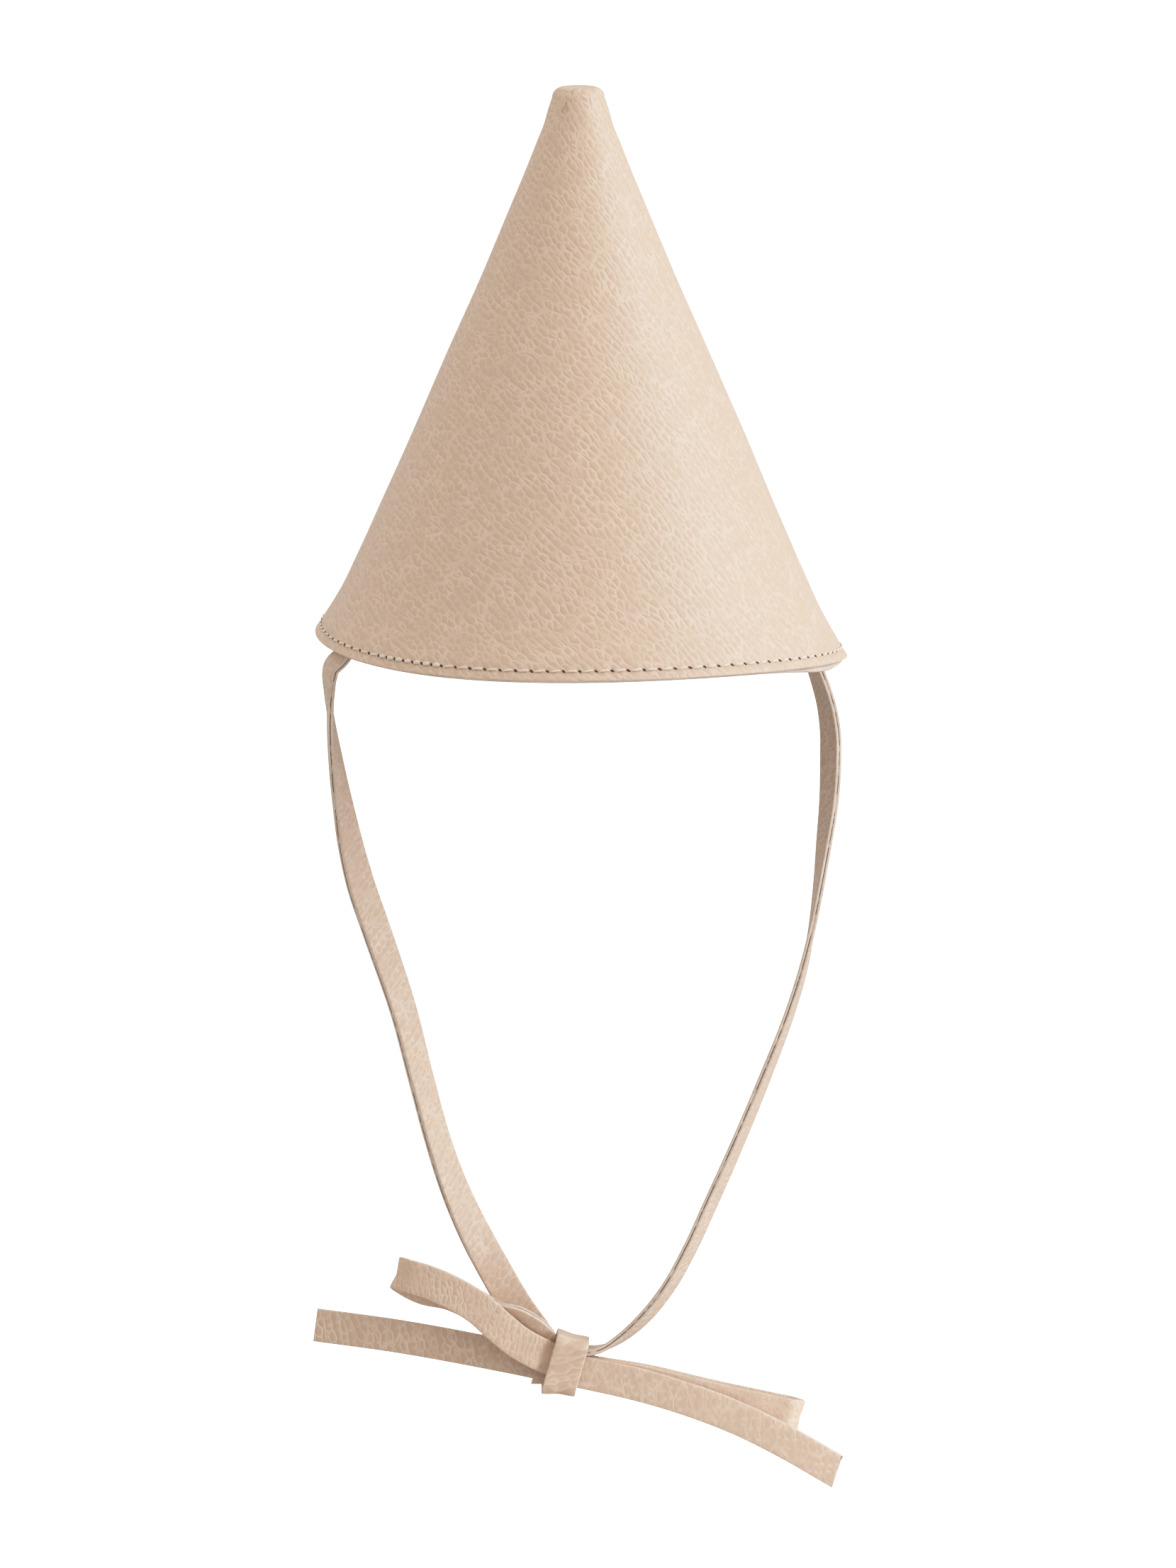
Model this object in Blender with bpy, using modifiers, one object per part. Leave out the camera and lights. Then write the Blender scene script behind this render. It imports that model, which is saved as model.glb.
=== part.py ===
"""A child's leather party hat: a blunt cone with a faced rim, and two flat ties in a bow.

+Z is up, +X is to the right and -Y is the front. The origin is the centre of the rim's
opening, where the hat sits on the head. Sizes are in millimetres until a mesh is made.
"""

import math

import bmesh
import bpy
import numpy as np
from mathutils import Vector

MM = 0.001
GAP = 0.3

# The cone. The wall is leather, with a second ply of it, the facing, inside the rim.
CROWN_HEIGHT = 158.2
CROWN_WALL = 1.3
CROWN_AXIS_X = -1.0
TIP_RADIUS = 7.5
TIP_CORNER = 3.0
TIP_CORNER_STEPS = 4
CROWN_STEPS = 60
CROWN_ROW_HEIGHT = 7.2
FACING_WALL = 1.0
FACING_HEIGHT = 12.0
FACING_ROWS = 3
MERGE_DISTANCE = 0.00001

# Height above the rim, and the cone's outer radius there.
CROWN_PROFILE = (
    (0.0, 75.2),
    (5.6, 71.7),
    (12.0, 68.0),
    (21.8, 63.4),
    (42.0, 54.6),
    (62.2, 45.9),
    (82.4, 37.1),
    (102.7, 28.2),
    (122.9, 19.8),
    (135.0, 14.8),
    (143.1, 11.6),
    (147.6, 9.8),
    (151.5, 8.7),
    (CROWN_HEIGHT - TIP_CORNER, TIP_RADIUS),
)

# The rim doesn't lie flat: it tilts down to the right, is twisted a little and has slid to
# the right, by amounts that fade out up the cone.
RIM_TILT = 3.5
RIM_TWIST = 2.1
RIM_SLIDE = 0.8
RIM_FADE_HEIGHT = 75.0
RIM_FADE_POWER = 1.5

# The strap: two plies glued back to back.
STRAP_WIDTH = 9.4
STRAP_THICKNESS = 2.0
STRAP_STEP = 4.0

# Each tie is stitched to the facing, this far round from the side of the hat.
TIE_TURN = math.radians(20)
TIE_SEAT_GAP = 0.55
# Columns: height above the rim, and how far the strap has left the facing there.
TIE_SEAT_LEFT = (
    (9.0, 0.0),
    (4.5, 0.0),
    (0.0, 0.0),
)
TIE_SEAT_RIGHT = (
    (9.0, 0.0),
    (4.5, 0.6),
    (0.0, 2.6),
)

# The knot, and the line that the bow lies along, down to the right.
KNOT_X = -4.7
KNOT_Z = -205.8
BOW_SLOPE = math.radians(16)
WRAP_WIDTH = 8.8
WRAP_THICKNESS = 1.8
WRAP_INNER_UP = 6.9
WRAP_INNER_DOWN_LEFT = 7.6
WRAP_INNER_DOWN_RIGHT = 5.8
WRAP_INNER_DEPTH = 5.1
WRAP_CORNER = 0.6
WRAP_CORNER_STEPS = 2

# The four layers of strap in the knot, as depths from its middle; the front is negative.
LAYER = 2.4
FRONT_LAYER = -1.5 * LAYER
SECOND_LAYER = -0.5 * LAYER
THIRD_LAYER = 0.5 * LAYER
BACK_LAYER = 1.5 * LAYER

# Columns: x, y, z of the strap's middle, and its turn in degrees from edge-on to the front.
TIE_LEFT = (
    (-70.2, -23.4, -3.1, -20.0),
    (-71.2, -22.6, -11.4, -8.0),
    (-70.9, -21.8, -17.5, 0.0),
    (-69.5, -20.2, -29.9, 14.0),
    (-67.6, -18.7, -42.2, 26.0),
    (-65.3, -17.1, -54.6, 39.0),
    (-62.2, -15.6, -67.0, 48.0),
    (-58.1, -14.0, -79.3, 49.0),
    (-50.1, -10.9, -104.0, 43.0),
    (-45.5, -8.6, -122.5, 40.0),
    (-40.6, -6.2, -141.1, 41.0),
    (-36.6, -4.2, -153.4, 47.0),
    (-31.4, -1.8, -165.8, 59.0),
    (-25.3, 2.4, -178.1, 75.0),
    (-18.2, 5.0, -190.6, 86.0),
    (-13.8, 4.8, -196.8, 90.0),
)
TIE_RIGHT = (
    (66.4, 23.6, -12.0, -22.0),
    (69.3, 22.1, -21.9, -27.0),
    (70.3, 21.0, -29.8, -30.0),
    (70.3, 20.2, -35.8, -30.0),
    (69.8, 18.7, -47.7, -25.0),
    (68.4, 17.1, -59.6, -17.0),
    (66.9, 15.6, -71.5, -8.0),
    (65.0, 14.0, -83.4, 0.0),
    (62.4, 12.5, -95.3, 7.0),
    (58.7, 10.9, -107.2, 10.0),
    (51.8, 8.6, -125.0, 14.0),
    (44.3, 6.2, -142.9, 17.0),
    (36.3, 3.9, -160.7, 19.0),
    (30.8, 2.3, -172.6, 19.0),
    (24.1, 0.8, -184.5, 19.0),
    (16.9, 0.0, -193.3, 18.0),
    (10.8, 0.0, -198.5, 13.0),
    (5.5, 0.0, -201.4, 6.0),
)

# Columns: along the bow from the knot's middle, up from its line, depth, and the strap's
# turn in degrees from face-on to the front.
LOOP_LEFT = (
    (-2.6, 0.6, FRONT_LAYER, 0.0),
    (-5.2, 0.9, FRONT_LAYER, 0.0),
    (-9.0, 1.7, -4.8, 0.0),
    (-14.8, 3.2, -5.6, 0.0),
    (-20.8, 5.9, -6.6, 0.0),
    (-28.6, 9.7, -7.0, 0.0),
    (-37.2, 12.0, -7.0, 0.0),
    (-44.8, 12.9, -6.4, 0.0),
    (-50.2, 12.7, -5.0, 0.0),
    (-52.2, 12.4, -2.8, 0.0),
    (-50.2, 11.2, -0.6, 0.0),
    (-44.8, 10.8, 0.5, 0.0),
    (-36.8, 11.4, 0.2, 4.0),
    (-29.0, 9.7, -0.6, 12.0),
    (-22.6, 8.1, -1.8, 26.0),
    (-16.6, 8.6, -2.4, 34.0),
    (-10.8, 6.6, -2.2, 26.0),
    (-5.4, 1.9, SECOND_LAYER, 0.0),
    (-2.6, 1.2, SECOND_LAYER, 0.0),
)
LOOP_RIGHT = (
    (2.6, -0.6, SECOND_LAYER, 0.0),
    (6.3, -0.4, SECOND_LAYER, 0.0),
    (22.0, 1.3, -1.6, 0.0),
    (43.8, 2.3, -1.9, 0.0),
    (60.0, 3.4, -1.9, 0.0),
    (65.4, 3.8, -1.3, 0.0),
    (67.0, 3.9, 0.2, 0.0),
    (65.4, 3.8, 1.7, 0.0),
    (60.0, 3.4, 2.3, 0.0),
    (43.8, 2.3, 2.2, 0.0),
    (22.0, 1.3, 1.7, 0.0),
    (6.3, -0.4, THIRD_LAYER, 0.0),
    (2.6, -0.6, THIRD_LAYER, 0.0),
)
TAIL_LEFT = (
    (-1.6, -1.7, THIRD_LAYER, 0.0),
    (-5.0, -1.8, THIRD_LAYER, 0.0),
    (-11.4, -2.3, 1.8, 0.0),
    (-23.5, -3.5, 3.2, 0.0),
    (-47.7, -6.2, 5.0, 0.0),
    (-70.7, -9.6, 6.0, 0.0),
)
TAIL_RIGHT = (
    (1.6, -0.6, FRONT_LAYER, 0.0),
    (5.6, -0.3, FRONT_LAYER, 0.0),
    (28.9, 0.8, -4.9, 0.0),
    (54.0, -1.1, -5.6, 0.0),
    (66.8, -3.6, -6.0, 0.0),
    (82.0, -7.4, -6.4, 0.0),
)
TAIL_RIGHT_CUT = math.radians(-12)

# Linear colour, roughness.
LEATHER = ((0.62, 0.47, 0.35), 0.6)
FACING_LEATHER = ((0.42, 0.29, 0.22), 0.75)
STRAP_LEATHER = ((0.6, 0.45, 0.33), 0.6)


def smooth_rows(rows, step):
    """The rows again, about step apart along one smooth curve through all of them."""
    rows = np.array(rows, float)
    knots = np.concatenate([[0], np.cumsum(np.linalg.norm(np.diff(rows[:, :3], axis=0), axis=1))])
    slopes = np.gradient(rows, knots, axis=0)
    at = np.linspace(0, knots[-1], max(2, round(knots[-1] / step) + 1))
    i = np.clip(np.searchsorted(knots, at, side="right") - 1, 0, len(rows) - 2)
    length = (knots[i + 1] - knots[i])[:, None]
    t = (at - knots[i])[:, None] / length
    return (
        (2 * t**3 - 3 * t**2 + 1) * rows[i]
        + (t**3 - 2 * t**2 + t) * length * slopes[i]
        + (3 * t**2 - 2 * t**3) * rows[i + 1]
        + (t**3 - t**2) * length * slopes[i + 1]
    )


def crown_profile():
    """Points (radius, height) down the cone's outside, from the middle of its tip."""
    flat = TIP_RADIUS - TIP_CORNER
    points = [(0.0, CROWN_HEIGHT), (flat / 2, CROWN_HEIGHT)]
    for i in range(TIP_CORNER_STEPS):
        a = math.radians(90 - 90 * i / TIP_CORNER_STEPS)
        points.append((flat + TIP_CORNER * math.cos(a), CROWN_HEIGHT - TIP_CORNER + TIP_CORNER * math.sin(a)))
    wall = smooth_rows([(height, radius, 0.0) for height, radius in CROWN_PROFILE], CROWN_ROW_HEIGHT)
    return points + [(radius, height) for height, radius, _ in wall[::-1]]


def outer_radius(height):
    return float(np.interp(height, *zip(*CROWN_PROFILE)))


def wall_point(height, depth):
    """The point (radius, height) this far inside the cone's outside, square to its wall."""
    above = height + CROWN_WALL
    below = max(height - CROWN_WALL, 0)
    lean = math.atan2(outer_radius(below) - outer_radius(above), above - below)
    return outer_radius(height) - depth * math.cos(lean), height - depth * math.sin(lean)


def settled(x, y, z):
    """A point round the cone's axis, once the rim has its tilt, twist and slide."""
    angle = math.atan2(y, x)
    fade = max(0.0, 1 - max(z, 0.0) / RIM_FADE_HEIGHT) ** RIM_FADE_POWER
    drop = RIM_TILT * math.cos(angle) + RIM_TWIST * math.sin(2 * angle)
    return x + CROWN_AXIS_X + RIM_SLIDE * fade, y, z - drop * fade


def collection(name):
    made = bpy.data.collections.new(name)
    bpy.context.scene.collection.children.link(made)
    return made


def leather(name, colour, roughness):
    material = bpy.data.materials.new(name)
    material.use_nodes = True
    shader = material.node_tree.nodes["Principled BSDF"]
    shader.inputs["Base Color"].default_value = (*colour, 1)
    shader.inputs["Roughness"].default_value = roughness
    material.diffuse_color = (*colour, 1)
    return material


def piece(name, mesh, material, parts):
    obj = bpy.data.objects.new(name, mesh)
    mesh.materials.append(leather(name, *material))
    parts.objects.link(obj)
    return obj


def solidify(obj, thickness, offset):
    wall = obj.modifiers.new("wall", "SOLIDIFY")
    wall.thickness = thickness * MM
    wall.offset = offset
    wall.use_even_offset = True
    wall.use_rim = True


def turned(name, profile):
    """The surface that a profile of (radius, height) sweeps round the cone's axis."""
    line = bpy.data.meshes.new(name + "_profile")
    points = [(r * MM, 0.0, h * MM) for r, h in profile]
    line.from_pydata(points, [(i, i + 1) for i in range(len(points) - 1)], [])
    obj = bpy.data.objects.new(name + "_profile", line)
    bpy.context.scene.collection.objects.link(obj)
    screw = obj.modifiers.new("turn", "SCREW")
    screw.steps = CROWN_STEPS
    screw.render_steps = CROWN_STEPS
    screw.use_merge_vertices = True
    screw.merge_threshold = MERGE_DISTANCE
    mesh = bpy.data.meshes.new_from_object(obj.evaluated_get(bpy.context.evaluated_depsgraph_get()))
    mesh.name = name
    bpy.data.objects.remove(obj)
    bpy.data.meshes.remove(line)
    return mesh


def settle_wall(mesh):
    for vertex in mesh.vertices:
        vertex.co = Vector(settled(*(vertex.co / MM))) * MM


def make_crown(parts):
    mesh = turned("crown", crown_profile())
    settle_wall(mesh)
    mesh.shade_smooth()
    solidify(piece("crown", mesh, LEATHER, parts), CROWN_WALL, -1)


def make_facing(parts):
    heights = [FACING_HEIGHT * (1 - i / FACING_ROWS) for i in range(FACING_ROWS + 1)]
    mesh = turned("rim_facing", [wall_point(height, CROWN_WALL + GAP) for height in heights])
    settle_wall(mesh)
    mesh.shade_smooth()
    solidify(piece("rim_facing", mesh, FACING_LEATHER, parts), FACING_WALL, -1)


def strap(name, rows, across, material, parts, end_cut=0.0):
    """A flat strap along rows of (x, y, z, turn in degrees).

    Its width starts out along across, square to its length, and turns about its length.
    end_cut turns the last edge in the strap's own plane.
    """
    rows = smooth_rows(rows, STRAP_STEP)
    middles = [Vector(row[:3]) for row in rows]
    last = len(middles) - 1
    points = []
    for i, (middle, row) in enumerate(zip(middles, rows)):
        along = (middles[min(i + 1, last)] - middles[max(i - 1, 0)]).normalized()
        flat = (across - along * across.dot(along)).normalized()
        turn = math.radians(row[3])
        edge = flat * math.cos(turn) + along.cross(flat) * math.sin(turn)
        if i == last:
            edge += along * math.tan(end_cut)
        points += [(middle - edge * STRAP_WIDTH / 2) * MM, (middle + edge * STRAP_WIDTH / 2) * MM]
    mesh = bpy.data.meshes.new(name)
    mesh.from_pydata(points, [], [(2 * i, 2 * i + 1, 2 * i + 3, 2 * i + 2) for i in range(last)])
    solidify(piece(name, mesh, material, parts), STRAP_THICKNESS, 0)


def bow_point(along, up, depth):
    """A point of the bow, given along its line, up from it, and in depth."""
    x = KNOT_X + along * math.cos(BOW_SLOPE) + up * math.sin(BOW_SLOPE)
    z = KNOT_Z - along * math.sin(BOW_SLOPE) + up * math.cos(BOW_SLOPE)
    return x, depth, z


def bow_rows(table):
    return [(*bow_point(along, up, depth), turn) for along, up, depth, turn in table]


def tie_seat(side):
    """The rows where a tie lies against the facing, side -1 on the left and 1 on the right."""
    angle = TIE_TURN if side > 0 else math.pi + TIE_TURN
    seat_depth = CROWN_WALL + GAP + FACING_WALL + TIE_SEAT_GAP + STRAP_THICKNESS / 2
    rows = []
    for height, away in TIE_SEAT_RIGHT if side > 0 else TIE_SEAT_LEFT:
        radius, z = wall_point(height, seat_depth + away)
        seat = settled(radius * math.cos(angle), radius * math.sin(angle), z)
        rows.append((*seat, -math.degrees(TIE_TURN)))
    return rows


def make_ties(parts):
    depthwise = Vector((0, 1, 0))
    into_knot = [(*bow_point(-5.0, 1.2, BACK_LAYER), 90.0), (*bow_point(-1.8, 0.8, BACK_LAYER), 90.0)]
    strap("tie_left", tie_seat(-1) + list(TIE_LEFT) + into_knot, depthwise, STRAP_LEATHER, parts)
    over_knot = [(*bow_point(4.4, 5.5, 0), 0.0), (*bow_point(1.2, 5.4, 0), 0.0)]
    strap("tie_right", tie_seat(1) + list(TIE_RIGHT) + over_knot, depthwise, STRAP_LEATHER, parts)


def make_bow(parts):
    upright = Vector((math.sin(BOW_SLOPE), 0, math.cos(BOW_SLOPE)))
    strap("bow_loop_left", bow_rows(LOOP_LEFT), upright, STRAP_LEATHER, parts)
    strap("bow_loop_right", bow_rows(LOOP_RIGHT), upright, STRAP_LEATHER, parts)
    strap("bow_tail_left", bow_rows(TAIL_LEFT), upright, STRAP_LEATHER, parts)
    strap("bow_tail_right", bow_rows(TAIL_RIGHT), upright, STRAP_LEATHER, parts, TAIL_RIGHT_CUT)


def wrap_outline(down):
    """The inside of the wrap as (up, depth), a box with round corners, going round once."""
    box_up = WRAP_INNER_UP - WRAP_CORNER
    box_down = down - WRAP_CORNER
    box_depth = WRAP_INNER_DEPTH - WRAP_CORNER
    points = []
    corners = ((box_up, box_depth), (-box_down, box_depth), (-box_down, -box_depth), (box_up, -box_depth))
    for quarter, (up, depth) in enumerate(corners):
        for i in range(WRAP_CORNER_STEPS + 1):
            a = math.radians(90 * (quarter + i / WRAP_CORNER_STEPS))
            points.append((up + WRAP_CORNER * math.cos(a), depth + WRAP_CORNER * math.sin(a)))
    return points


def make_wrap(parts):
    """The band round the knot: a closed strip, deeper on its left, with its wall outside."""
    left = [bow_point(-WRAP_WIDTH / 2, up, depth) for up, depth in wrap_outline(WRAP_INNER_DOWN_LEFT)]
    right = [bow_point(WRAP_WIDTH / 2, up, depth) for up, depth in wrap_outline(WRAP_INNER_DOWN_RIGHT)]
    count = len(left)
    faces = [(i, (i + 1) % count, count + (i + 1) % count, count + i) for i in range(count)]
    mesh = bpy.data.meshes.new("knot_wrap")
    mesh.from_pydata([Vector(p) * MM for p in left + right], [], faces)
    strip = bmesh.new()
    strip.from_mesh(mesh)
    middle = Vector(bow_point(0, 0, 0)) * MM
    if strip.faces[:][0].normal.dot(strip.faces[:][0].calc_center_median() - middle) < 0:
        bmesh.ops.reverse_faces(strip, faces=strip.faces)
    strip.to_mesh(mesh)
    strip.free()
    solidify(piece("knot_wrap", mesh, STRAP_LEATHER, parts), WRAP_THICKNESS, 1)


def main():
    for obj in list(bpy.data.objects):
        bpy.data.objects.remove(obj)
    parts = collection("party_hat")
    make_crown(parts)
    make_facing(parts)
    make_ties(parts)
    make_bow(parts)
    make_wrap(parts)


main()
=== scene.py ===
"""Leather party hat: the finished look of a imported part, laid out as a Blender add-on.

+Z is up the cone, -Y is the front, and the origin is the centre of the rim's opening. The
properties hold metres. Tables and shapes are in millimetres, as in the part's own source, until
a mesh is made.
"""

import math

import bmesh
import bpy
import numpy as np
from bpy.props import FloatProperty, FloatVectorProperty, IntProperty, PointerProperty
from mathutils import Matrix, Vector, noise


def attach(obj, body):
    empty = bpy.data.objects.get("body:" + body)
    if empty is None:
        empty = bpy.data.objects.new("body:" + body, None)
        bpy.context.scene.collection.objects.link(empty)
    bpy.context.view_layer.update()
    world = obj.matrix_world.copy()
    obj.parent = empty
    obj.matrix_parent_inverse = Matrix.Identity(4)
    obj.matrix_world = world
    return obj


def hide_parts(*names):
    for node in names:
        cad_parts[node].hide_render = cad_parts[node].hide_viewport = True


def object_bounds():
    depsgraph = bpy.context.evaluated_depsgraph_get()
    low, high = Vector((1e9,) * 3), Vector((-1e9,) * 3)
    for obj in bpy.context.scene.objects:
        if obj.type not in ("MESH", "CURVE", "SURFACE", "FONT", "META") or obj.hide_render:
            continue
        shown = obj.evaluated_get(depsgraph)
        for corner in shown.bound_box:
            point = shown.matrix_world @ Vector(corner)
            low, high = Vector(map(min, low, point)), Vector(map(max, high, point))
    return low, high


bl_info = {
    "name": "Leather Party Hat",
    "version": (1, 0, 0),
    "blender": (4, 5, 0),
    "location": "3D View > Sidebar > Party Hat",
    "description": "Makes a grained leather party hat with a stitched rim and two ties in a bow",
    "category": "Object",
}

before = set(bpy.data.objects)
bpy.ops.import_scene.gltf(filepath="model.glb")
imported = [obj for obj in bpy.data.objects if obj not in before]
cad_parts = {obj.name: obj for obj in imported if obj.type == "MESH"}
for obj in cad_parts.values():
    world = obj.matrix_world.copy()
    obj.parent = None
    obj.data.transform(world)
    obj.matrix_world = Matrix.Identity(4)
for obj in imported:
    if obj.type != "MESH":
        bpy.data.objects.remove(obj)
CAD_BOX = [list(corner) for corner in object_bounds()]
BODY = "root"
MM = 0.001

# The cone: height above the rim, and the outer radius there.
CROWN_AXIS_X = -1.0
TIP_RADIUS = 7.5
TIP_CORNER = 3.0
CROWN_PROFILE = (
    (0.0, 75.2),
    (5.6, 71.7),
    (12.0, 68.0),
    (21.8, 63.4),
    (42.0, 54.6),
    (62.2, 45.9),
    (82.4, 37.1),
    (102.7, 28.2),
    (122.9, 19.8),
    (135.0, 14.8),
    (143.1, 11.6),
    (147.6, 9.8),
    (151.5, 8.7),
    (155.2, TIP_RADIUS),
)
# The sine of the cone's half angle, for rolling it out flat, and the gap between pieces.
CONE_SINE = 0.4
GAP = 0.3

# How the rim lies: tilted down to the right, twisted a little and slid to the right.
RIM_TILT = 3.5
RIM_TWIST = 2.1
RIM_SLIDE = 0.8
RIM_FADE_HEIGHT = 75.0
RIM_FADE_POWER = 1.5

# The mesh of the cone. Columns start and end at the seam down its back, and some lie beside it.
COLUMNS = 506
SEAM_ANGLE = math.radians(90)
SEAM_COLUMNS = (0.05, 0.12, 0.25, 0.45)
WELD = 1e-7
LIP = 0.3
LIP_STEPS = 4

# Soft unevenness of the cone's wall, and the marks on it.
WAVE_SIZE = 34.0
WAVE_DEPTH = 0.35
WAVE_START = 14.0
WAVE_FULL = 45.0
CHANNEL_DEPTH = 0.22
CHANNEL_SPREAD = 0.75
HOLE_DENT = 0.14
HOLE_SPREAD = 0.8
SEAM_DEPTH = 0.35
SEAM_SPREAD = 0.22
SEAM_TOP = 150.0
SEAM_FADE = 10
PUCKER_ANGLE = math.radians(-117.6)
PUCKER_HEIGHT = 153.2
PUCKER_DEPTH = 0.16
PUCKER_SPREAD = 0.22
# Strokes of the pucker: from and to, as millimetres round the cone and up from its middle.
PUCKER_STROKES = (
    ((0.1, 1.5), (-0.1, 0.3)),
    ((-0.1, 0.5), (-0.8, -1.2)),
    ((0.0, 0.4), (0.9, -0.9)),
    ((0.9, 4.6), (1.4, 4.1)),
)
# The painted shadow under the row of stitches: its strength, how far below the row, and its spread.
PAINTED_THREAD_SHADOW = 0.4
PAINTED_THREAD_SHADOW_DROP = 0.45
PAINTED_THREAD_SHADOW_SPREAD = 0.2

# The doubled stretch of stitches at the front left of the rim, as angles round the hat.
DOUBLED_FROM = math.radians(-140.8)
DOUBLED_TO = math.radians(-122.3)
PATH_STEP = 1.5
LEAST_PATH_POINTS = 8

# Where a tie lies against the facing: how far round from the side, and how far off.
TIE_TURN = math.radians(20)
TIE_SEAT_GAP = 0.55
# Columns: height above the rim, and how far the strap has left the facing there.
TIE_SEAT_LEFT = (
    (9.0, 0.0),
    (4.5, 0.0),
    (0.0, 0.0),
)
TIE_SEAT_RIGHT = (
    (9.0, 0.0),
    (4.5, 0.6),
    (0.0, 2.6),
)
# The ties: x, y, z of the strap's middle, and its turn in degrees from edge-on to the front.
TIE_ACROSS = (0.0, 1.0, 0.0)
TIE_LEFT = (
    (-70.2, -23.4, -3.1, -20.0),
    (-71.2, -22.6, -11.4, -8.0),
    (-70.9, -21.8, -17.5, 0.0),
    (-69.5, -20.2, -29.9, 14.0),
    (-67.6, -18.7, -42.2, 26.0),
    (-65.3, -17.1, -54.6, 39.0),
    (-62.2, -15.6, -67.0, 48.0),
    (-58.1, -14.0, -79.3, 49.0),
    (-50.1, -10.9, -104.0, 43.0),
    (-45.5, -8.6, -122.5, 40.0),
    (-40.6, -6.2, -141.1, 41.0),
    (-36.6, -4.2, -153.4, 47.0),
    (-31.4, -1.8, -165.8, 59.0),
    (-25.3, 2.4, -178.1, 75.0),
    (-18.2, 5.0, -190.6, 86.0),
    (-13.8, 4.8, -196.8, 90.0),
)
TIE_RIGHT = (
    (66.4, 23.6, -12.0, -22.0),
    (69.3, 22.1, -21.9, -27.0),
    (70.3, 21.0, -29.8, -30.0),
    (70.3, 20.2, -35.8, -30.0),
    (69.8, 18.7, -47.7, -25.0),
    (68.4, 17.1, -59.6, -17.0),
    (66.9, 15.6, -71.5, -8.0),
    (65.0, 14.0, -83.4, 0.0),
    (62.4, 12.5, -95.3, 7.0),
    (58.7, 10.9, -107.2, 10.0),
    (51.8, 8.6, -125.0, 14.0),
    (44.3, 6.2, -142.9, 17.0),
    (36.3, 3.9, -160.7, 19.0),
    (30.8, 2.3, -172.6, 19.0),
    (24.1, 0.8, -184.5, 19.0),
    (16.9, 0.0, -193.3, 18.0),
    (10.8, 0.0, -198.5, 13.0),
    (5.5, 0.0, -201.4, 6.0),
)

# The bow: its middle, its slope, and the four layers of strap in its knot.
KNOT_X = -4.7
KNOT_Z = -205.8
BOW_SLOPE = math.radians(16)
BOW_UP = (math.sin(BOW_SLOPE), 0.0, math.cos(BOW_SLOPE))
LAYER = 2.4
FRONT_LAYER = -1.5 * LAYER
SECOND_LAYER = -0.5 * LAYER
THIRD_LAYER = 0.5 * LAYER
BACK_LAYER = 1.5 * LAYER
# Along the bow from the knot, up from its line, depth, and the turn in degrees from face-on.
LOOP_LEFT = (
    (-2.6, 0.6, FRONT_LAYER, 0.0),
    (-5.2, 0.9, FRONT_LAYER, 0.0),
    (-9.0, 1.7, -4.8, 0.0),
    (-14.8, 3.2, -5.6, 0.0),
    (-20.8, 5.9, -6.6, 0.0),
    (-28.6, 9.7, -7.0, 0.0),
    (-37.2, 12.0, -7.0, 0.0),
    (-44.8, 12.9, -6.4, 0.0),
    (-50.2, 12.7, -5.0, 0.0),
    (-52.2, 12.4, -2.8, 0.0),
    (-50.2, 11.1, -0.6, 0.0),
    (-44.8, 9.8, 0.5, 0.0),
    (-36.8, 10.3, 0.2, 4.0),
    (-29.0, 9.2, -0.6, 12.0),
    (-22.6, 8.1, -1.8, 26.0),
    (-16.6, 8.6, -2.4, 34.0),
    (-10.8, 6.6, -2.2, 26.0),
    (-5.4, 1.9, SECOND_LAYER, 0.0),
    (-2.6, 1.2, SECOND_LAYER, 0.0),
)
LOOP_RIGHT = (
    (2.6, -0.6, SECOND_LAYER, 0.0),
    (6.3, -0.4, SECOND_LAYER, 0.0),
    (22.0, 1.3, -1.6, 0.0),
    (43.8, 2.3, -1.9, 0.0),
    (60.0, 3.4, -1.9, 0.0),
    (65.4, 3.8, -1.3, 0.0),
    (67.0, 3.9, 0.2, 0.0),
    (65.4, 3.8, 1.7, 0.0),
    (60.0, 3.4, 2.3, 0.0),
    (43.8, 2.3, 2.2, 0.0),
    (22.0, 1.3, 1.7, 0.0),
    (6.3, -0.4, THIRD_LAYER, 0.0),
    (2.6, -0.6, THIRD_LAYER, 0.0),
)
TAIL_LEFT = (
    (-1.6, -1.7, THIRD_LAYER, 0.0),
    (-5.0, -1.8, THIRD_LAYER, 0.0),
    (-11.4, -2.3, 1.8, 0.0),
    (-23.5, -3.5, 3.2, 0.0),
    (-47.7, -6.2, 5.0, 0.0),
    (-70.7, -9.6, 6.0, 0.0),
)
TAIL_RIGHT = (
    (1.6, -0.6, FRONT_LAYER, 0.0),
    (5.6, -0.3, FRONT_LAYER, 0.0),
    (28.9, 0.8, -4.9, 0.0),
    (54.0, -1.1, -5.6, 0.0),
    (66.8, -3.6, -6.0, 0.0),
    (82.0, -7.4, -6.4, 0.0),
)
TAIL_RIGHT_CUT = math.radians(-12)
# The fold of strap that shows at the knot's lower left, in the same columns as the bow.
TUCK = (
    (-2.0, -5.2, 1.6, 0.0),
    (-5.0, -5.9, 1.4, 0.0),
    (-7.6, -6.6, 1.2, 0.0),
)
TUCK_WIDTH = 3.4
# The last stretch of each tie, into the knot and over it, in the same columns.
TIE_LEFT_END = (
    (-5.0, 1.2, BACK_LAYER, 90.0),
    (-1.8, 0.8, BACK_LAYER, 90.0),
)
TIE_RIGHT_END = (
    (4.4, 5.35, 0.0, 0.0),
    (1.2, 5.25, 0.0, 0.0),
)

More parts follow.
